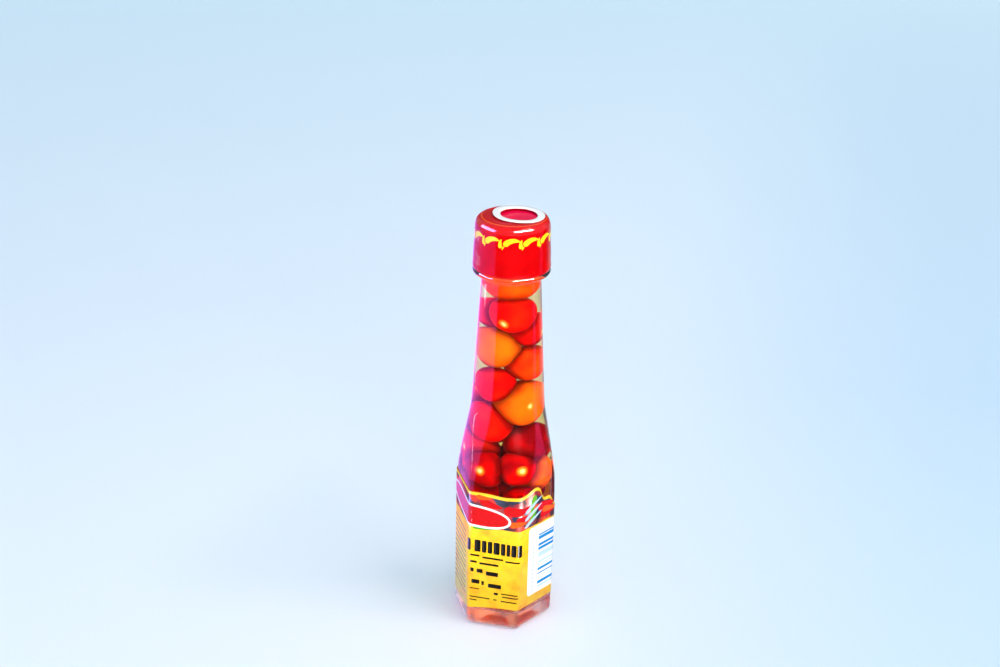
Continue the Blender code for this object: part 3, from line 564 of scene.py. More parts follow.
def chili_skin():
    """Waxy fruit skin, wetted by brine, so it has little gloss of its own but lets some light in: its
    ripeness sets the colour, slowly mottled over 7 mm, shade is painted dark red in the nooks between
    fruits, and the stalk scar has pale cork and a rim."""
    made, tree, shader = finish(
        "waxy_chili_skin", "#E01000", 0.3, 1.12, Subsurface_Weight=0.15, Specular_IOR_Level=0.05)
    shader.inputs["Subsurface Radius"].default_value = (1.8, 0.5, 0.2)
    shader.inputs["Subsurface Scale"].default_value = 1.0 * MM
    where = add(tree, "ShaderNodeTexCoord").outputs["Object"]
    mottle = add(tree, "ShaderNodeTexNoise", {
        "Vector": where, "Scale": 1.0 / MOTTLE, "Detail": 3.0}).outputs["Fac"]
    shift = add(tree, "ShaderNodeMapRange", {
        "Value": mottle, "From Min": 0.3, "From Max": 0.7, "To Min": -0.14, "To Max": 0.14}).outputs[0]
    ripe = add(tree, "ShaderNodeAttribute", attribute_name="ripeness").outputs["Fac"]
    ripe = add(tree, "ShaderNodeMath", {0: ripe, 1: shift}, operation="ADD").outputs[0]
    flesh = add(tree, "ShaderNodeValToRGB", {"Fac": ripe})
    stops = flesh.color_ramp.elements
    stops[0].position, stops[0].color = 0.0, linear("#FF7404")
    stops[1].position, stops[1].color = 1.0, linear("#7A0006")
    for at, colour in ((0.28, "#FF5200"), (0.5, "#FA2600"), (0.7, "#E80200"), (0.86, "#BC0000")):
        stops.new(at).color = linear(colour)
    # Painted shade: the skin goes towards dark red in the nooks where fruits touch.
    nook = add(tree, "ShaderNodeAttribute", attribute_name="nook").outputs["Fac"]
    nook = add(tree, "ShaderNodeMapRange", {"Value": nook, "To Max": PAINTED_SHADE_DEPTH}).outputs[0]
    shaded = add(tree, "ShaderNodeMix", {
        0: nook, 6: flesh.outputs["Color"], 7: linear(PAINTED_SHADE_COLOUR)}, data_type="RGBA").outputs[2]
    away = add(tree, "ShaderNodeAttribute", attribute_name="from_scar").outputs["Fac"]
    cork = add(tree, "ShaderNodeValToRGB", {"Fac": away})
    stops = cork.color_ramp.elements
    stops[0].position, stops[0].color = 0.0, linear("#FFECAA")
    stops[1].position, stops[1].color = 0.24, linear("#FFD468")
    for at, colour in ((0.32, "#D8761A"), (0.40, "#F0921E"), (0.5, "#FF7A10")):
        stops.new(at).color = linear(colour)
    halo = add(tree, "ShaderNodeMapRange", {"Value": away, "From Min": 0.36, "From Max": 0.62}).outputs[0]
    whole = add(tree, "ShaderNodeMix", {
        0: halo, 6: cork.outputs["Color"], 7: shaded}, data_type="RGBA").outputs[2]
    tree.links.new(whole, shader.inputs["Base Color"])
    return made


def corners_of(node):
    """The different corner points of a CAD node's triangles."""
    data = frame["nodes"][node].data
    points = np.empty(len(data.vertices) * 3)
    data.vertices.foreach_get("co", points)
    return np.unique(points.reshape(-1, 3).round(7), axis=0)


def stalk_axis(points, centre):
    """The direction of the stalk scar: where a fruit's corners crowd closest together."""
    apart = np.linalg.norm(points[:, None] - points[None], axis=2)
    crowding = np.sort(apart, axis=1)[:, 1:10].mean(axis=1)
    scar = points[np.argsort(crowding)[:SCAR_CORNERS]].mean(axis=0) - centre
    return scar / np.linalg.norm(scar)


def fruit(points, number):
    """A fruit's skin: along each direction it reaches as far as the solid's corners near that direction
    do on average, with a dimple and a raised scar round the stalk axis."""
    centre = points.mean(axis=0)
    axis = stalk_axis(points, centre)
    helper = np.array([0.0, 0.0, 1.0]) if abs(axis[2]) < 0.9 else np.array([1.0, 0.0, 0.0])
    side = np.cross(helper, axis)
    side /= np.linalg.norm(side)
    other = np.cross(axis, side)
    polar = math.pi * np.linspace(0.0, 1.0, CHILI_RINGS)[:, None] ** 1.25
    around = np.linspace(0.0, 2.0 * math.pi, CHILI_SPOKES, endpoint=False)
    flat = np.sin(polar)[..., None] * (np.cos(around)[:, None] * side + np.sin(around)[:, None] * other)
    rays = flat + np.cos(polar)[..., None] * axis
    reach = np.linalg.norm(points - centre, axis=1)
    toward = (points - centre) / reach[:, None]
    weight = np.exp(SPREAD * (rays @ toward.T - 1.0))
    radius = (weight * reach).sum(axis=-1) / weight.sum(axis=-1)
    from_scar = polar * reach.mean() / SCAR_RADIUS + 0.0 * around
    dimple = DIMPLE * np.exp(-((from_scar / 2.4) ** 2)) * (1.0 + 0.3 * np.cos(3.0 * around + number))
    raised = SCAR_RISE * (1.0 - smooth((from_scar - 0.75) / 0.35))
    grain = CORK_GRAIN * np.cos(7.0 * around + number) * (1.0 - smooth((from_scar - 0.8) / 0.3))
    radius = radius - dimple + raised + grain * smooth(from_scar / 0.5)
    radius = radius * np.where(from_scar < 2.0, 1.0 + (GROWN - 1.0) * smooth(from_scar / 2.0), GROWN)
    return held_by_glass(centre + rays * radius[..., None]), from_scar / 3.0


def held_by_glass(points):
    """Draws points in to the hollow's wall, so that a fruit lies flat where it presses on the glass, and
    lifts those below the hollow's floor on to it."""
    angle = np.arctan2(points[..., 0], -points[..., 1])
    height = np.clip(points[..., 2], FLOOR_TOP + FLOOR_DOME + HELD, None)
    wall_here = glass_radius(angle, np.minimum(height, NECK_TOP_Z), WALL + HELD, INNER_CORNER_ROUND)
    wall_here = np.where(height > NECK_TOP_Z, np.minimum(wall_here, BORE_R - HELD), wall_here)
    off = np.maximum(np.hypot(points[..., 0], points[..., 1]), HELD)
    level = points[..., :2] * np.minimum(1.0, wall_here / off)[..., None]
    return np.concatenate([level, height[..., None]], axis=-1)


slots = {row["node"]: row["material_slot"] for row in frame["record"]["subparts"]}
waxy_skin = chili_skin()
chili_nodes = sorted(name for name in frame["nodes"] if name.startswith("chili_"))
solids = [corners_of(node) for node in chili_nodes]
centres = np.array([points.mean(axis=0) for points in solids])
radii = np.array([np.linalg.norm(points - points.mean(axis=0), axis=1).max() for points in solids])


def paint_nook_shade(grid, own):
    """Painted shade: how far a point lies in the nook beside a neighbour, where no light gets in: 1
    inside the circle in which two fruits' balls cut, fading to 0 over an angle outside it."""
    rays = grid - centres[own]
    rays /= np.linalg.norm(rays, axis=-1)[..., None]
    shade = np.zeros(grid.shape[:2])
    for other in range(len(radii)):
        apart = centres[other] - centres[own]
        gap = np.linalg.norm(apart)
        if other == own or gap > radii[own] + radii[other] + NOOK_REACH:
            continue
        plane = (gap**2 + radii[own] ** 2 - radii[other] ** 2) / (2.0 * gap)
        circle = math.acos(min(1.0, plane / radii[own]))
        off = np.arccos(np.clip(rays @ (apart / gap), -1.0, 1.0)) - circle
        shade = np.maximum(shade, 1.0 - smooth(off / NOOK_FADE))
    return shade


for number, node in enumerate(chili_nodes):
    grid, from_scar = fruit(solids[number], number)
    ripeness = np.full(from_scar.shape, RIPENESS.get(node, RIPENESS_OF_SLOT[slots[node]]))
    # The nook attribute carries the painted shade between fruits.
    surface = {"from_scar": from_scar, "ripeness": ripeness, "nook": paint_nook_shade(grid, number)}
    mesh = skin(node + "_fruit", [grid], attributes=surface)
    piece(node + "_fruit", mesh, waxy_skin, slots[node], node)


# Screw cap
# A red polypropylene cap, injection moulded and threaded inside. Only its flat top shows, down in
# the open mouth of the seal, glossy, with the small pit where the plastic entered the mould.

ORANGE_PEEL = 1.43 * MM

# Moulded polypropylene: smooth and glossy, with the faint orange peel of a polished mould.
cap_finish, cap_tree, cap_shader = finish(
    "moulded_polypropylene", "#EE0846", 0.18, 1.49, Specular_IOR_Level=0.2)
on_cap = add(cap_tree, "ShaderNodeTexCoord").outputs["Object"]
orange_peel = add(cap_tree, "ShaderNodeTexNoise", {
    "Vector": on_cap, "Scale": 1.0 / ORANGE_PEEL, "Detail": 2.0}).outputs["Fac"]
peel = add(cap_tree, "ShaderNodeBump", {
    "Height": orange_peel, "Strength": 0.12, "Distance": 0.2 * MM}).outputs[0]
cap_tree.links.new(peel, cap_shader.inputs["Normal"])
cap_object = frame["nodes"]["screw_cap"]
cap_object.data.materials.clear()
cap_object.data.materials.append(cap_finish)


# Sealing disc
# A disc of white polyethylene foam inside the cap's top, pressed on the rim of the glass.

FOAM_CELL = 0.4 * MM

# Polyethylene foam: matt and off-white, pitted by its cut cells.
disc_finish, disc_tree, disc_shader = finish("polyethylene_foam", "#F0F0EC", 0.8, 1.5)
on_disc = add(disc_tree, "ShaderNodeTexCoord").outputs["Object"]
cells = add(disc_tree, "ShaderNodeTexVoronoi", {
    "Vector": on_disc, "Scale": 1.0 / FOAM_CELL}).outputs["Distance"]
pitted = add(disc_tree, "ShaderNodeBump", {
    "Height": cells, "Strength": 0.3, "Distance": 0.1 * MM}).outputs[0]
disc_tree.links.new(pitted, disc_shader.inputs["Normal"])
disc_object = frame["nodes"]["sealing_disc"]
disc_object.data.materials.clear()
disc_object.data.materials.append(disc_finish)


# Shrink seal
# A red printed film, shrunk with hot air over the cap and on to the bead. It hugs the cap's side and
# rounded edge, and its unprinted white end folds back out as a loose flat band round the open top. A
# row of yellow sprigs, each a pepper with its stalk, is printed round its side.

SEAL_COLUMNS = 240
SEAL_FILM = 0.14 * MM
MOUTH_SHIFT = (1.95 * MM, 0.75 * MM)
BAND_TILT = 0.048
SEAL_PROFILE = (
    (13.72, 144.02, 0.0), (13.95, 144.10, 0.0), (14.14, 144.6, 0.0), (14.17, 145.5, 0.0),
    (14.06, 147.0, 0.0), (13.94, 150.7, 0.0), (13.64, 155.3, 0.0), (13.50, 159.3, 0.0),
    (13.42, 160.3, 0.0), (13.18, 161.3, 0.0), (12.70, 162.15, 0.02), (11.95, 162.75, 0.12),
    (11.1, 163.0, 0.35), (10.2, 163.05, 0.75), (9.0, 163.0, 1.0), (7.6, 163.0, 1.0),
    (6.95, 163.05, 1.0), (6.72, 163.25, 1.0), (6.9, 163.48, 1.0), (7.5, 163.6, 1.0),
    (8.5, 163.58, 1.0), (9.3, 163.46, 1.0),
)
FOLD_ROW = 17
LINE_ROW = 11.4
SEAL_WAVE = 0.06 * MM
CREASE_HALF = 0.22 * MM
INK_CLOUD = 5.88 * MM
FILM_SLACK = 3.85 * MM
CREASES = ((33.0, 148.4, 0.10), (42.0, 146.6, 0.08), (28.0, 145.0, 0.10), (-25.0, 159.6, 0.05))


def seal_rows(angle):
    """The film's outer face: its profile turned about the axis, rounded by a smooth curve through the
    profile's points. Each row slides sideways by its share of the mouth's shift, and the loose band
    leans over to one side. A few creases stand out where the film gathered."""
    knots = np.array(SEAL_PROFILE) * (MM, MM, 1.0)
    fine = np.linspace(0.0, len(knots) - 1.0, 6 * (len(knots) - 1) + 1)
    low = np.minimum(fine.astype(int), len(knots) - 2)
    part = (fine - low)[:, None]
    before = knots[np.maximum(low - 1, 0)]
    after = knots[np.minimum(low + 2, len(knots) - 1)]
    first, second = knots[low], knots[low + 1]
    curve = 0.5 * (2.0 * first + part * (second - before)
                   + part**2 * (2.0 * before - 5.0 * first + 4.0 * second - after)
                   + part**3 * (3.0 * first - before - 3.0 * second + after))
    radius, height, share = (curve[:, i, None] for i in range(3))
    for turn_at, crease_z, crease_rise in CREASES:
        off = (angle - math.radians(turn_at) + math.pi) % (2.0 * math.pi) - math.pi
        crease = np.exp(-((height - crease_z * MM) / CREASE_HALF) ** 2 - (off / 0.3) ** 2)
        radius = radius + crease_rise * MM * crease
    rows = ring_rows(angle, radius, height + 0.0 * angle)
    rows[..., 0] += MOUTH_SHIFT[0] * share
    rows[..., 1] += MOUTH_SHIFT[1] * share
    loose = smooth((fine - FOLD_ROW + 1.0) / 2.0)[:, None]
    rows[..., 2] -= loose * BAND_TILT * (rows[..., 0] - MOUTH_SHIFT[0])
    rows[..., 2] += loose * SEAL_WAVE * np.sin(3.0 * angle + 1.0)
    return rows, fine[:, None] + 0.0 * angle


# Shrink film, printed red on its inner side: glossy over slightly cloudy ink, with a soft slack ripple
# and a faint orange line round its shoulder. Its white end has no print.
film_finish, film_tree, film_shader = finish(
    "printed_shrink_film", "#C80008", 0.12, 1.5, Specular_IOR_Level=0.3)
row = add(film_tree, "ShaderNodeAttribute", attribute_name="profile_row").outputs["Fac"]
on_film = add(film_tree, "ShaderNodeTexCoord").outputs["Object"]
cloudy = add(film_tree, "ShaderNodeTexNoise", {
    "Vector": on_film, "Scale": 1.0 / INK_CLOUD, "Detail": 2.0}).outputs["Fac"]
inked = add(film_tree, "ShaderNodeMix", {
    0: cloudy, 6: linear("#B40002"), 7: linear("#DE0004")}, data_type="RGBA").outputs[2]
off_line = add(film_tree, "ShaderNodeMath", {0: row, 1: LINE_ROW}, operation="SUBTRACT").outputs[0]
off_line = add(film_tree, "ShaderNodeMath", {0: off_line}, operation="ABSOLUTE").outputs[0]
faint = add(film_tree, "ShaderNodeMapRange", {
    "Value": off_line, "From Min": 0.0, "From Max": 0.3, "To Min": 0.8, "To Max": 0.0}).outputs[0]
lined = add(film_tree, "ShaderNodeMix", {
    0: faint, 6: inked, 7: linear("#FF6A1E")}, data_type="RGBA").outputs[2]
bare = add(film_tree, "ShaderNodeMapRange", {
    "Value": row, "From Min": FOLD_ROW + 0.1, "From Max": FOLD_ROW + 0.3}).outputs[0]
filmed = add(film_tree, "ShaderNodeMix", {
    0: bare, 6: lined, 7: linear("#F4F2F0")}, data_type="RGBA").outputs[2]
film_tree.links.new(filmed, film_shader.inputs["Base Color"])
slack = add(film_tree, "ShaderNodeTexNoise", {
    "Vector": on_film, "Scale": 1.0 / FILM_SLACK, "Detail": 1.0}).outputs["Fac"]
ripples = add(film_tree, "ShaderNodeBump", {
    "Height": slack, "Strength": 0.25, "Distance": 0.3 * MM}).outputs[0]
film_tree.links.new(ripples, film_shader.inputs["Normal"])

columns = np.linspace(0.0, 2.0 * math.pi, SEAL_COLUMNS, endpoint=False)
rows, row_number = seal_rows(columns)
seal_mesh = skin("seal_film", [rows], attributes={"profile_row": row_number}, solid=False)
seal = piece("seal_film", seal_mesh, film_finish, "seal_film", "shrink_seal")
wall_of_film = seal.modifiers.new("film", "SOLIDIFY")
wall_of_film.thickness = SEAL_FILM
wall_of_film.offset = -1.0

INK_GRAIN = 1.111 * MM
SPRIGS = 12
SPRIG_PITCH = 7.1
SPRIG_REACH = 13.6
SPRIG_LIFT = 0.03 * MM


def ink(name, colour, other):
    """Printing ink: two near shades in a fine uneven grain, as flexographic ink lies on film. The real
    grain is about a tenth of this, too fine to show, so it is drawn coarser."""
    made, tree, shader = finish(name, colour, 0.25, 1.5)
    on_print = add(tree, "ShaderNodeTexCoord").outputs["Object"]
    grain = add(tree, "ShaderNodeTexNoise", {
        "Vector": on_print, "Scale": 1.0 / INK_GRAIN, "Detail": 2.0}).outputs["Fac"]
    printed = add(tree, "ShaderNodeMix", {
        0: grain, 6: linear(colour), 7: linear(other)}, data_type="RGBA").outputs[2]
    tree.links.new(printed, shader.inputs["Base Color"])
    return made


def patch(path, half, columns=3):
    """A printed shape: a band along a path of (along, height) points in mm, as wide as twice half."""
    path = np.asarray(path, float)
    ahead = np.gradient(path, axis=0)
    ahead /= np.maximum(np.linalg.norm(ahead, axis=1), 1e-9)[:, None]
    normal = np.stack([-ahead[:, 1], ahead[:, 0]], axis=1)
    across = np.linspace(-1.0, 1.0, columns)[:, None, None]
    return path[None] + across * (half[:, None] * normal)[None]


def pepper(start, length, turn, width, bend):
    """A long curved pepper: its path is an arc, its width swells near the stalk and runs out to a tip."""
    share = np.linspace(0.0, 1.0, 22)
    heading = math.radians(turn) + math.radians(bend) * share
    steps = length * np.stack([np.cos(heading), np.sin(heading)], axis=1) / (len(share) - 1)
    path = np.array(start) + np.cumsum(steps, axis=0)
    half = width / 2 * np.sqrt(np.clip(np.minimum(share / 0.12, 1.0), 0.02, 1.0)) * (1.0 - share**2.2) ** 0.75
    return patch(path, half)


def print_on(name, shapes, material, level, wrap, slot):
    """Lays printed shapes on a surface as one mesh, at a level above it."""
    grids = [wrap(shape[..., 0], shape[..., 1], level) for shape in shapes]
    mesh = skin(name, grids, around=False, solid=False, merge=False)
    return piece(name, mesh, material, slot)


seal_side = np.array([knot[:2] for knot in SEAL_PROFILE[3:10]])


def on_seal(along, height, lift):
    """A point of the seal's side from its distance round the front in mm and its height in mm."""
    radius = np.interp(height, seal_side[:, 1], seal_side[:, 0]) * MM + lift
    angle = along / SPRIG_REACH
    return np.stack([radius * np.sin(angle), -radius * np.cos(angle), height * MM], axis=-1)


ink_yellow = ink("yellow_ink", "#FFE000", "#FFD000")
sprigs = []
for sprig_at in SPRIG_PITCH * np.arange(SPRIGS):
    sprigs.append(pepper((sprig_at, 155.9), 6.6, 62.0, 2.1, -88.0))
    sprigs.append(pepper((sprig_at + 0.2, 156.0), 1.5, -150.0, 0.6, 60.0))
    sprigs.append(pepper((sprig_at + 6.3, 155.2), 3.4, 112.0, 1.4, -50.0))
print_on("printed_sprigs", sprigs, ink_yellow, SPRIG_LIFT, on_seal, "seal_film")


# Label
# A glossy printed film wrapped round the six flats and glued, its ends a little apart at the back. Its
# upper edge is die-cut in waves with a yellow border. Under it lies a dark picture band of red and
# orange peppers, and below that a yellow field with a dark title and lines, and a white panel.

LABEL_GAP = 0.05 * MM
LABEL_FILM = 0.12 * MM
INK_LIFT = 0.02 * MM
LABEL_SKIN = FLATS_HALF + 0.3 * MM
LABEL_LOW_Z = 9.4
LABEL_SKEW = 3.9
LABEL_HIGH_Z = 59.0
SEAM_HALF = 1.5
LABEL_HALF = 6.0 * LABEL_SKIN / MM * math.tan(math.pi / 6) - SEAM_HALF
LABEL_COLUMNS = 700
FLAT_Z = 30.0 * MM
BORDER = 1.35
PICTURE_FOOT = 44.3
PICTURE_HALF = 33.0
PRINT_EDGE = 0.15
FIELD_CLOUD = 6.25
PEPPER_HEAP = 3.85
GLUE_WAVE = 2.86
GLOW_HEIGHTS = (24.0, 8.0)
GLOW_TOP, GLOW_FOOT = 0.06, 2.8


def step_at(along, place, softness):
    """A smooth step from 0 to 1 at a place along the label."""
    return 1.0 / (1.0 + np.exp(-(along - place) / softness))


def label_top(along):
    """Height in mm of the die-cut upper edge at a distance in mm along from the front facet's middle."""
    dip = -0.7 * np.exp(-(((along - 4.0) / 5.0) ** 2))
    crest = 1.3 * np.exp(-(((along - 18.0) / 3.4) ** 2))
    down = 4.8 * step_at(along, 21.6, 0.5) + 5.2 * step_at(along, 28.0, 0.6)
    up = 10.0 * step_at(along, 44.0, 1.6)
    return LABEL_HIGH_Z + dip + crest - down + up


def label_foot(along):
    """Height in mm of the lower edge, which sits lower on the left: the label is wrapped askew."""
    return LABEL_LOW_Z - LABEL_SKEW * step_at(-along, 11.0, 5.0)


def on_label(along, height, lift):
    """A point of the label from its distance along and its height in mm: the distance gives a facet and
    a place across it, and so an angle, and the side of the glass gives the radius there."""
    facet_width = 2.0 * LABEL_SKIN / MM * math.tan(math.pi / 6)
    facet = np.round(along / facet_width)
    across = np.arctan((along - facet * facet_width) * MM / LABEL_SKIN)
    angle = facet * math.pi / 3 + across
    radius = glass_radius(angle, FLAT_Z, 0.0, CORNER_ROUND) + LABEL_GAP + lift
    return np.stack([radius * np.sin(angle), -radius * np.cos(angle), height * MM], axis=-1)


# Printed polypropylene film: glossy, drawn slightly wavy by its glue. Its yellow field drifts to orange
# in blotches, and a dark heap of peppers fills the picture band. Light comes through the film, which
# the faint glow of its inner face towards its foot stands for. Patterns run in mm along the film.
print_finish, print_tree, print_shader = finish(
    "printed_label_film", "#FFC000", 0.32, 1.5, Specular_IOR_Level=0.35)
print_shader.inputs["Emission Color"].default_value = linear("#FF9C6C")
film_along = add(print_tree, "ShaderNodeAttribute", attribute_name="along").outputs["Fac"]
film_height = add(print_tree, "ShaderNodeAttribute", attribute_name="height").outputs["Fac"]
below_top = add(print_tree, "ShaderNodeAttribute", attribute_name="below_top").outputs["Fac"]
outer_face = add(print_tree, "ShaderNodeAttribute", attribute_name="outer_face").outputs["Fac"]
flat_place = add(print_tree, "ShaderNodeCombineXYZ", {"X": film_along, "Y": film_height}).outputs[0]
blotches = add(print_tree, "ShaderNodeTexNoise", {
    "Vector": flat_place, "Scale": 1.0 / FIELD_CLOUD, "Detail": 3.0}).outputs["Fac"]
more_orange = add(print_tree, "ShaderNodeMapRange", {
    "Value": blotches, "From Min": 0.46, "From Max": 0.72}).outputs[0]
field = add(print_tree, "ShaderNodeMix", {
    0: more_orange, 6: linear("#FFCA00"), 7: linear("#FFA000")}, data_type="RGBA").outputs[2]
heap = add(print_tree, "ShaderNodeTexVoronoi", {
    "Vector": flat_place, "Scale": 1.0 / PEPPER_HEAP, "Randomness": 1.0}).outputs
heap_shade = add(print_tree, "ShaderNodeSeparateColor", {0: heap["Color"]}).outputs[0]
heaped = add(print_tree, "ShaderNodeValToRGB", {"Fac": heap_shade})
stops = heaped.color_ramp.elements
stops[0].position, stops[0].color = 0.0, linear("#101C3A")
stops[1].position, stops[1].color = 1.0, linear("#E84A08")
for at, colour in ((0.35, "#1C2B4C"), (0.42, "#7A0A10"), (0.6, "#C81010"), (0.8, "#E01E08")):
    stops.new(at).color = linear(colour)
in_cell = add(print_tree, "ShaderNodeMapRange", {
    "Value": heap["Distance"], "From Min": 0.95, "From Max": 0.4}).outputs[0]
heap_colour = add(print_tree, "ShaderNodeMix", {
    0: in_cell, 6: linear("#0B1020"), 7: heaped.outputs["Color"]}, data_type="RGBA").outputs[2]
above_foot = add(print_tree, "ShaderNodeMapRange", {
    "Value": film_height, "From Min": PICTURE_FOOT - PRINT_EDGE,
    "From Max": PICTURE_FOOT + PRINT_EDGE}).outputs[0]
off_front = add(print_tree, "ShaderNodeMath", {0: film_along}, operation="ABSOLUTE").outputs[0]
at_front = add(print_tree, "ShaderNodeMapRange", {
    "Value": off_front, "From Min": PICTURE_HALF + PRINT_EDGE,
    "From Max": PICTURE_HALF - PRINT_EDGE}).outputs[0]
in_picture = add(print_tree, "ShaderNodeMath", {0: above_foot, 1: at_front}, operation="MULTIPLY").outputs[0]
pictured = add(print_tree, "ShaderNodeMix", {
    0: in_picture, 6: field, 7: heap_colour}, data_type="RGBA").outputs[2]
in_border = add(print_tree, "ShaderNodeMapRange", {
    "Value": below_top, "From Min": BORDER, "From Max": BORDER - PRINT_EDGE}).outputs[0]
bordered = add(print_tree, "ShaderNodeMix", {
    0: in_border, 6: pictured, 7: linear("#FFCC00")}, data_type="RGBA").outputs[2]
faced = add(print_tree, "ShaderNodeMix", {
    0: outer_face, 6: linear("#FFB400"), 7: bordered}, data_type="RGBA").outputs[2]
print_tree.links.new(faced, print_shader.inputs["Base Color"])
lower_down = add(print_tree, "ShaderNodeMapRange", {
    "Value": film_height, "From Min": GLOW_HEIGHTS[0], "From Max": GLOW_HEIGHTS[1],
    "To Min": GLOW_TOP, "To Max": GLOW_FOOT}).outputs[0]
inner_face = add(print_tree, "ShaderNodeMath", {0: 1.0, 1: outer_face}, operation="SUBTRACT").outputs[0]
glow = add(print_tree, "ShaderNodeMath", {0: inner_face, 1: lower_down}, operation="MULTIPLY").outputs[0]
print_tree.links.new(glow, print_shader.inputs["Emission Strength"])
wavy = add(print_tree, "ShaderNodeTexNoise", {
    "Vector": flat_place, "Scale": 1.0 / GLUE_WAVE, "Detail": 1.0}).outputs["Fac"]
uneven = add(print_tree, "ShaderNodeBump", {
    "Height": wavy, "Strength": 0.06, "Distance": 0.2 * MM}).outputs[0]
print_tree.links.new(uneven, print_shader.inputs["Normal"])

along = np.linspace(-LABEL_HALF, LABEL_HALF, LABEL_COLUMNS)
top, low = label_top(along), label_foot(along)
closing = np.minimum(1.0, (LABEL_HALF - np.abs(along)) / 0.1)
inside = LABEL_FILM * 0.5 * (1.0 - closing)
outside = LABEL_FILM * (0.5 + 0.5 * closing)
loop = [(low, inside, 0.0), (top, inside, 0.0), (top, outside, 1.0), (low, outside, 1.0), (low, inside, 1.0)]
grid = np.stack([on_label(along, height, lift) for height, lift, _ in loop])
values = {
    "along": np.tile(along, (5, 1)),
    "height": np.stack([height for height, _, _ in loop]),
    "below_top": np.stack([top - height for height, _, _ in loop]),
    "outer_face": np.stack([np.full(along.shape, face) for _, _, face in loop]),
}
label_mesh = skin("label_film", [grid], around=False, attributes=values, solid=False, merge=False)
piece("label_film", label_mesh, print_finish, "label_film", "label")


def bar(left, right, middle, high, corner=0.3):
    """A level bar with rounded ends."""
    span = right - left
    rounded = corner * (1.0 - np.cos(np.linspace(0.0, math.pi / 2, 6)))
    level_part = np.linspace(corner, span - corner, max(3, int(2.0 * span)))
    steps = np.unique(np.concatenate([rounded, level_part, span - rounded]))
    near_end = np.clip(1.0 - np.minimum(steps, span - steps) / corner, 0.0, 1.0)
    half = high / 2 - corner + corner * np.sqrt(1.0 - near_end**2)
    return patch(np.stack([left + steps, np.full(steps.shape, middle)], axis=1), half)


ink_black = ink("black_ink", "#0A0A08", "#1C1810")
ink_red = ink("red_ink", "#E01010", "#C00408")
ink_orange = ink("orange_ink", "#FF6A10", "#F04A08")
ink_green = ink("green_ink", "#7AC81E", "#4A9A20")
ink_white = ink("white_ink", "#F8F8FC", "#EEEEF6")
ink_blue = ink("blue_ink", "#008CCC", "#007EC2")
ink_pale = ink("pale_blue_ink", "#BCD8F4", "#A8CCF0")

ink_level = [LABEL_FILM + (i + 1) * INK_LIFT for i in range(4)]
flesh = [
    pepper((3.0, 53.0), 12.0, -8.0, 4.2, 20.0), pepper((-6.0, 56.2), 9.0, -30.0, 3.2, 30.0),
    pepper((8.0, 48.5), 9.0, 10.0, 3.6, -20.0), pepper((19.5, 51.5), 9.0, -10.0, 4.0, 10.0),
    pepper((21.0, 47.4), 9.0, 4.0, 3.6, 6.0), pepper((-26.0, 57.0), 9.0, -20.0, 3.4, 20.0),
]
print_on("printed_peppers", flesh, ink_red, ink_level[0], on_label, "label_film")
bright_flesh = [
    pepper((5.5, 46.3), 8.0, 25.0, 2.6, -40.0), pepper((-9.0, 46.0), 9.0, 4.0, 2.8, -14.0),
    pepper((22.0, 49.6), 8.0, -14.0, 2.6, 8.0), pepper((-7.5, 57.4), 6.0, -10.0, 2.0, 14.0),
]
print_on("printed_orange_peppers", bright_flesh, ink_orange, ink_level[1], on_label, "label_film")
stalks = [
    pepper((18.3, 57.6), 8.5, -112.0, 2.6, 16.0), pepper((-9.0, 43.8), 9.0, -2.0, 1.2, 6.0),
    pepper((14.5, 46.0), 7.5, 40.0, 1.6, 20.0),
]
print_on("printed_stalks", stalks, ink_green, ink_level[1], on_label, "label_film")
slants = [pepper((12.2, 44.8 + 3.1 * i), 10.5, 27.0, 1.5, -2.0) for i in range(3)]
print_on("printed_slants", slants, ink_pale, ink_level[2], on_label, "label_film")


PLAQUE_LEFT = -31.0
PLAQUE_LONG = 37.4
PLAQUE_HIGH = 9.6
PLAQUE_RIM = 0.95


def plaque(inset):
    """A plain lozenge with round ends along a gentle curve, drawn in by an inset in mm all round."""
    share = 0.5 - 0.5 * np.cos(np.linspace(0.0, math.pi, 90))
    along = PLAQUE_LEFT + inset + (PLAQUE_LONG - 2.0 * inset) * share
    part = (along - PLAQUE_LEFT) / PLAQUE_LONG
    height = 52.2 - 4.4 * part**1.5 - 1.2 * np.sin(math.pi * part)
    half = (PLAQUE_HIGH / 2 - inset) * (1.0 - np.abs(2.0 * share - 1.0) ** 3.2) ** 0.5 + 0.002
    return patch(np.stack([along, height], axis=1), half)


print_on("plaque_outline", [plaque(0.0)], ink_white, ink_level[2], on_label, "label_film")
print_on("plaque", [plaque(PLAQUE_RIM)], ink_red, ink_level[3], on_label, "label_film")

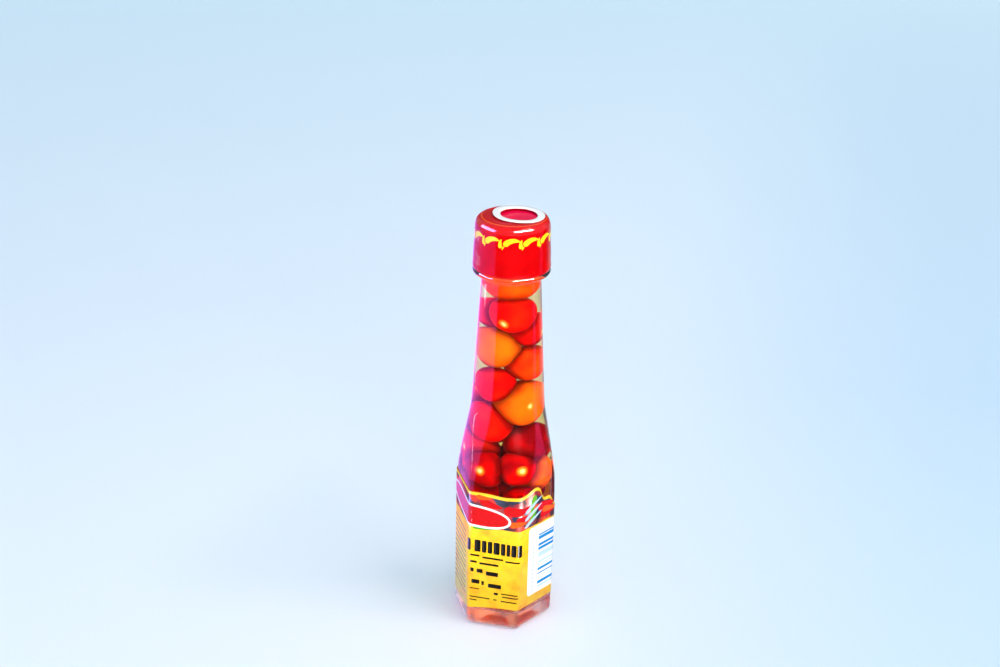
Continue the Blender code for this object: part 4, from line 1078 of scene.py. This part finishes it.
title = [bar(left, right, 35.8 - 0.02 * left, 5.2, 0.5) for left, right in (
    (-11.4, -9.2), (-7.6, -5.2), (-4.7, -2.9), (-2.4, -0.6),
    (-0.1, 2.3), (2.8, 4.5), (5.0, 6.4), (6.9, 8.9), (9.3, 11.6))]
lines = [bar(left, right, height, high, 0.2) for left, right, height, high in (
    (-9.4, -5.6, 31.6, 0.8), (-4.4, 3.8, 31.1, 0.8), (4.6, 10.6, 30.6, 0.7), (-9.4, -6.6, 28.7, 0.9),
    (-5.6, 2.0, 28.3, 0.9), (-9.2, -7.8, 25.0, 1.7), (-6.6, -4.2, 24.9, 1.7), (-2.9, 1.9, 24.2, 1.8),
    (-8.6, -5.4, 19.9, 1.8), (-4.6, -3.6, 19.6, 1.8), (-2.0, 3.2, 18.9, 1.8), (-9.4, -5.4, 16.7, 0.5),
    (0.4, 2.0, 15.6, 1.0), (3.2, 10.0, 15.9, 0.5), (3.6, 10.4, 14.6, 0.5), (-9.4, -1.2, 12.9, 0.5),
    (0.2, 1.6, 12.8, 0.5), (3.2, 9.6, 12.6, 0.5), (-9.4, -6.4, 11.5, 0.5))]
small = [bar(-28.6, -13.6 - 0.3 * (i % 2), 39.6 - 2.3 * i, 0.4, 0.15) for i in range(13)]
table = [bar(-50.0, -33.0 - 2.4 * ((i * 3) % 4), 46.0 - 2.2 * i, 0.5, 0.2) for i in range(15)]
rear = [bar(48.0, 56.4 - 1.5 * ((i * 7) % 3), 60.0 - 2.1 * i, 0.5, 0.2) for i in range(21)]
printed_lines = title + lines + small + table + rear
print_on("printed_lines", printed_lines, ink_black, ink_level[0], on_label, "label_film")

print_on("white_panel", [bar(15.2, 42.0, 28.4, 30.2, 1.4)], ink_white, ink_level[0], on_label, "label_film")
stripes = [bar(20.8, 40.0, height, high, 0.12) for height, high in (
    (38.8, 0.7), (37.4, 1.5), (34.3, 1.2), (32.6, 1.3), (23.4, 1.2), (21.4, 0.6), (17.4, 1.4))]
print_on("panel_stripes", stripes, ink_blue, ink_level[1], on_label, "label_film")
pale = [bar(20.8, 40.0, height, high, 0.12) for height, high in (
    (29.8, 2.2), (26.6, 1.0), (25.2, 0.6), (20.2, 0.5), (19.2, 0.5), (15.6, 1.0))]
pale += [bar(17.6, 18.5, 15.0 + 1.9 * i, 1.1, 0.2) for i in range(11)]
print_on("panel_pale_stripes", pale, ink_pale, ink_level[1], on_label, "label_film")
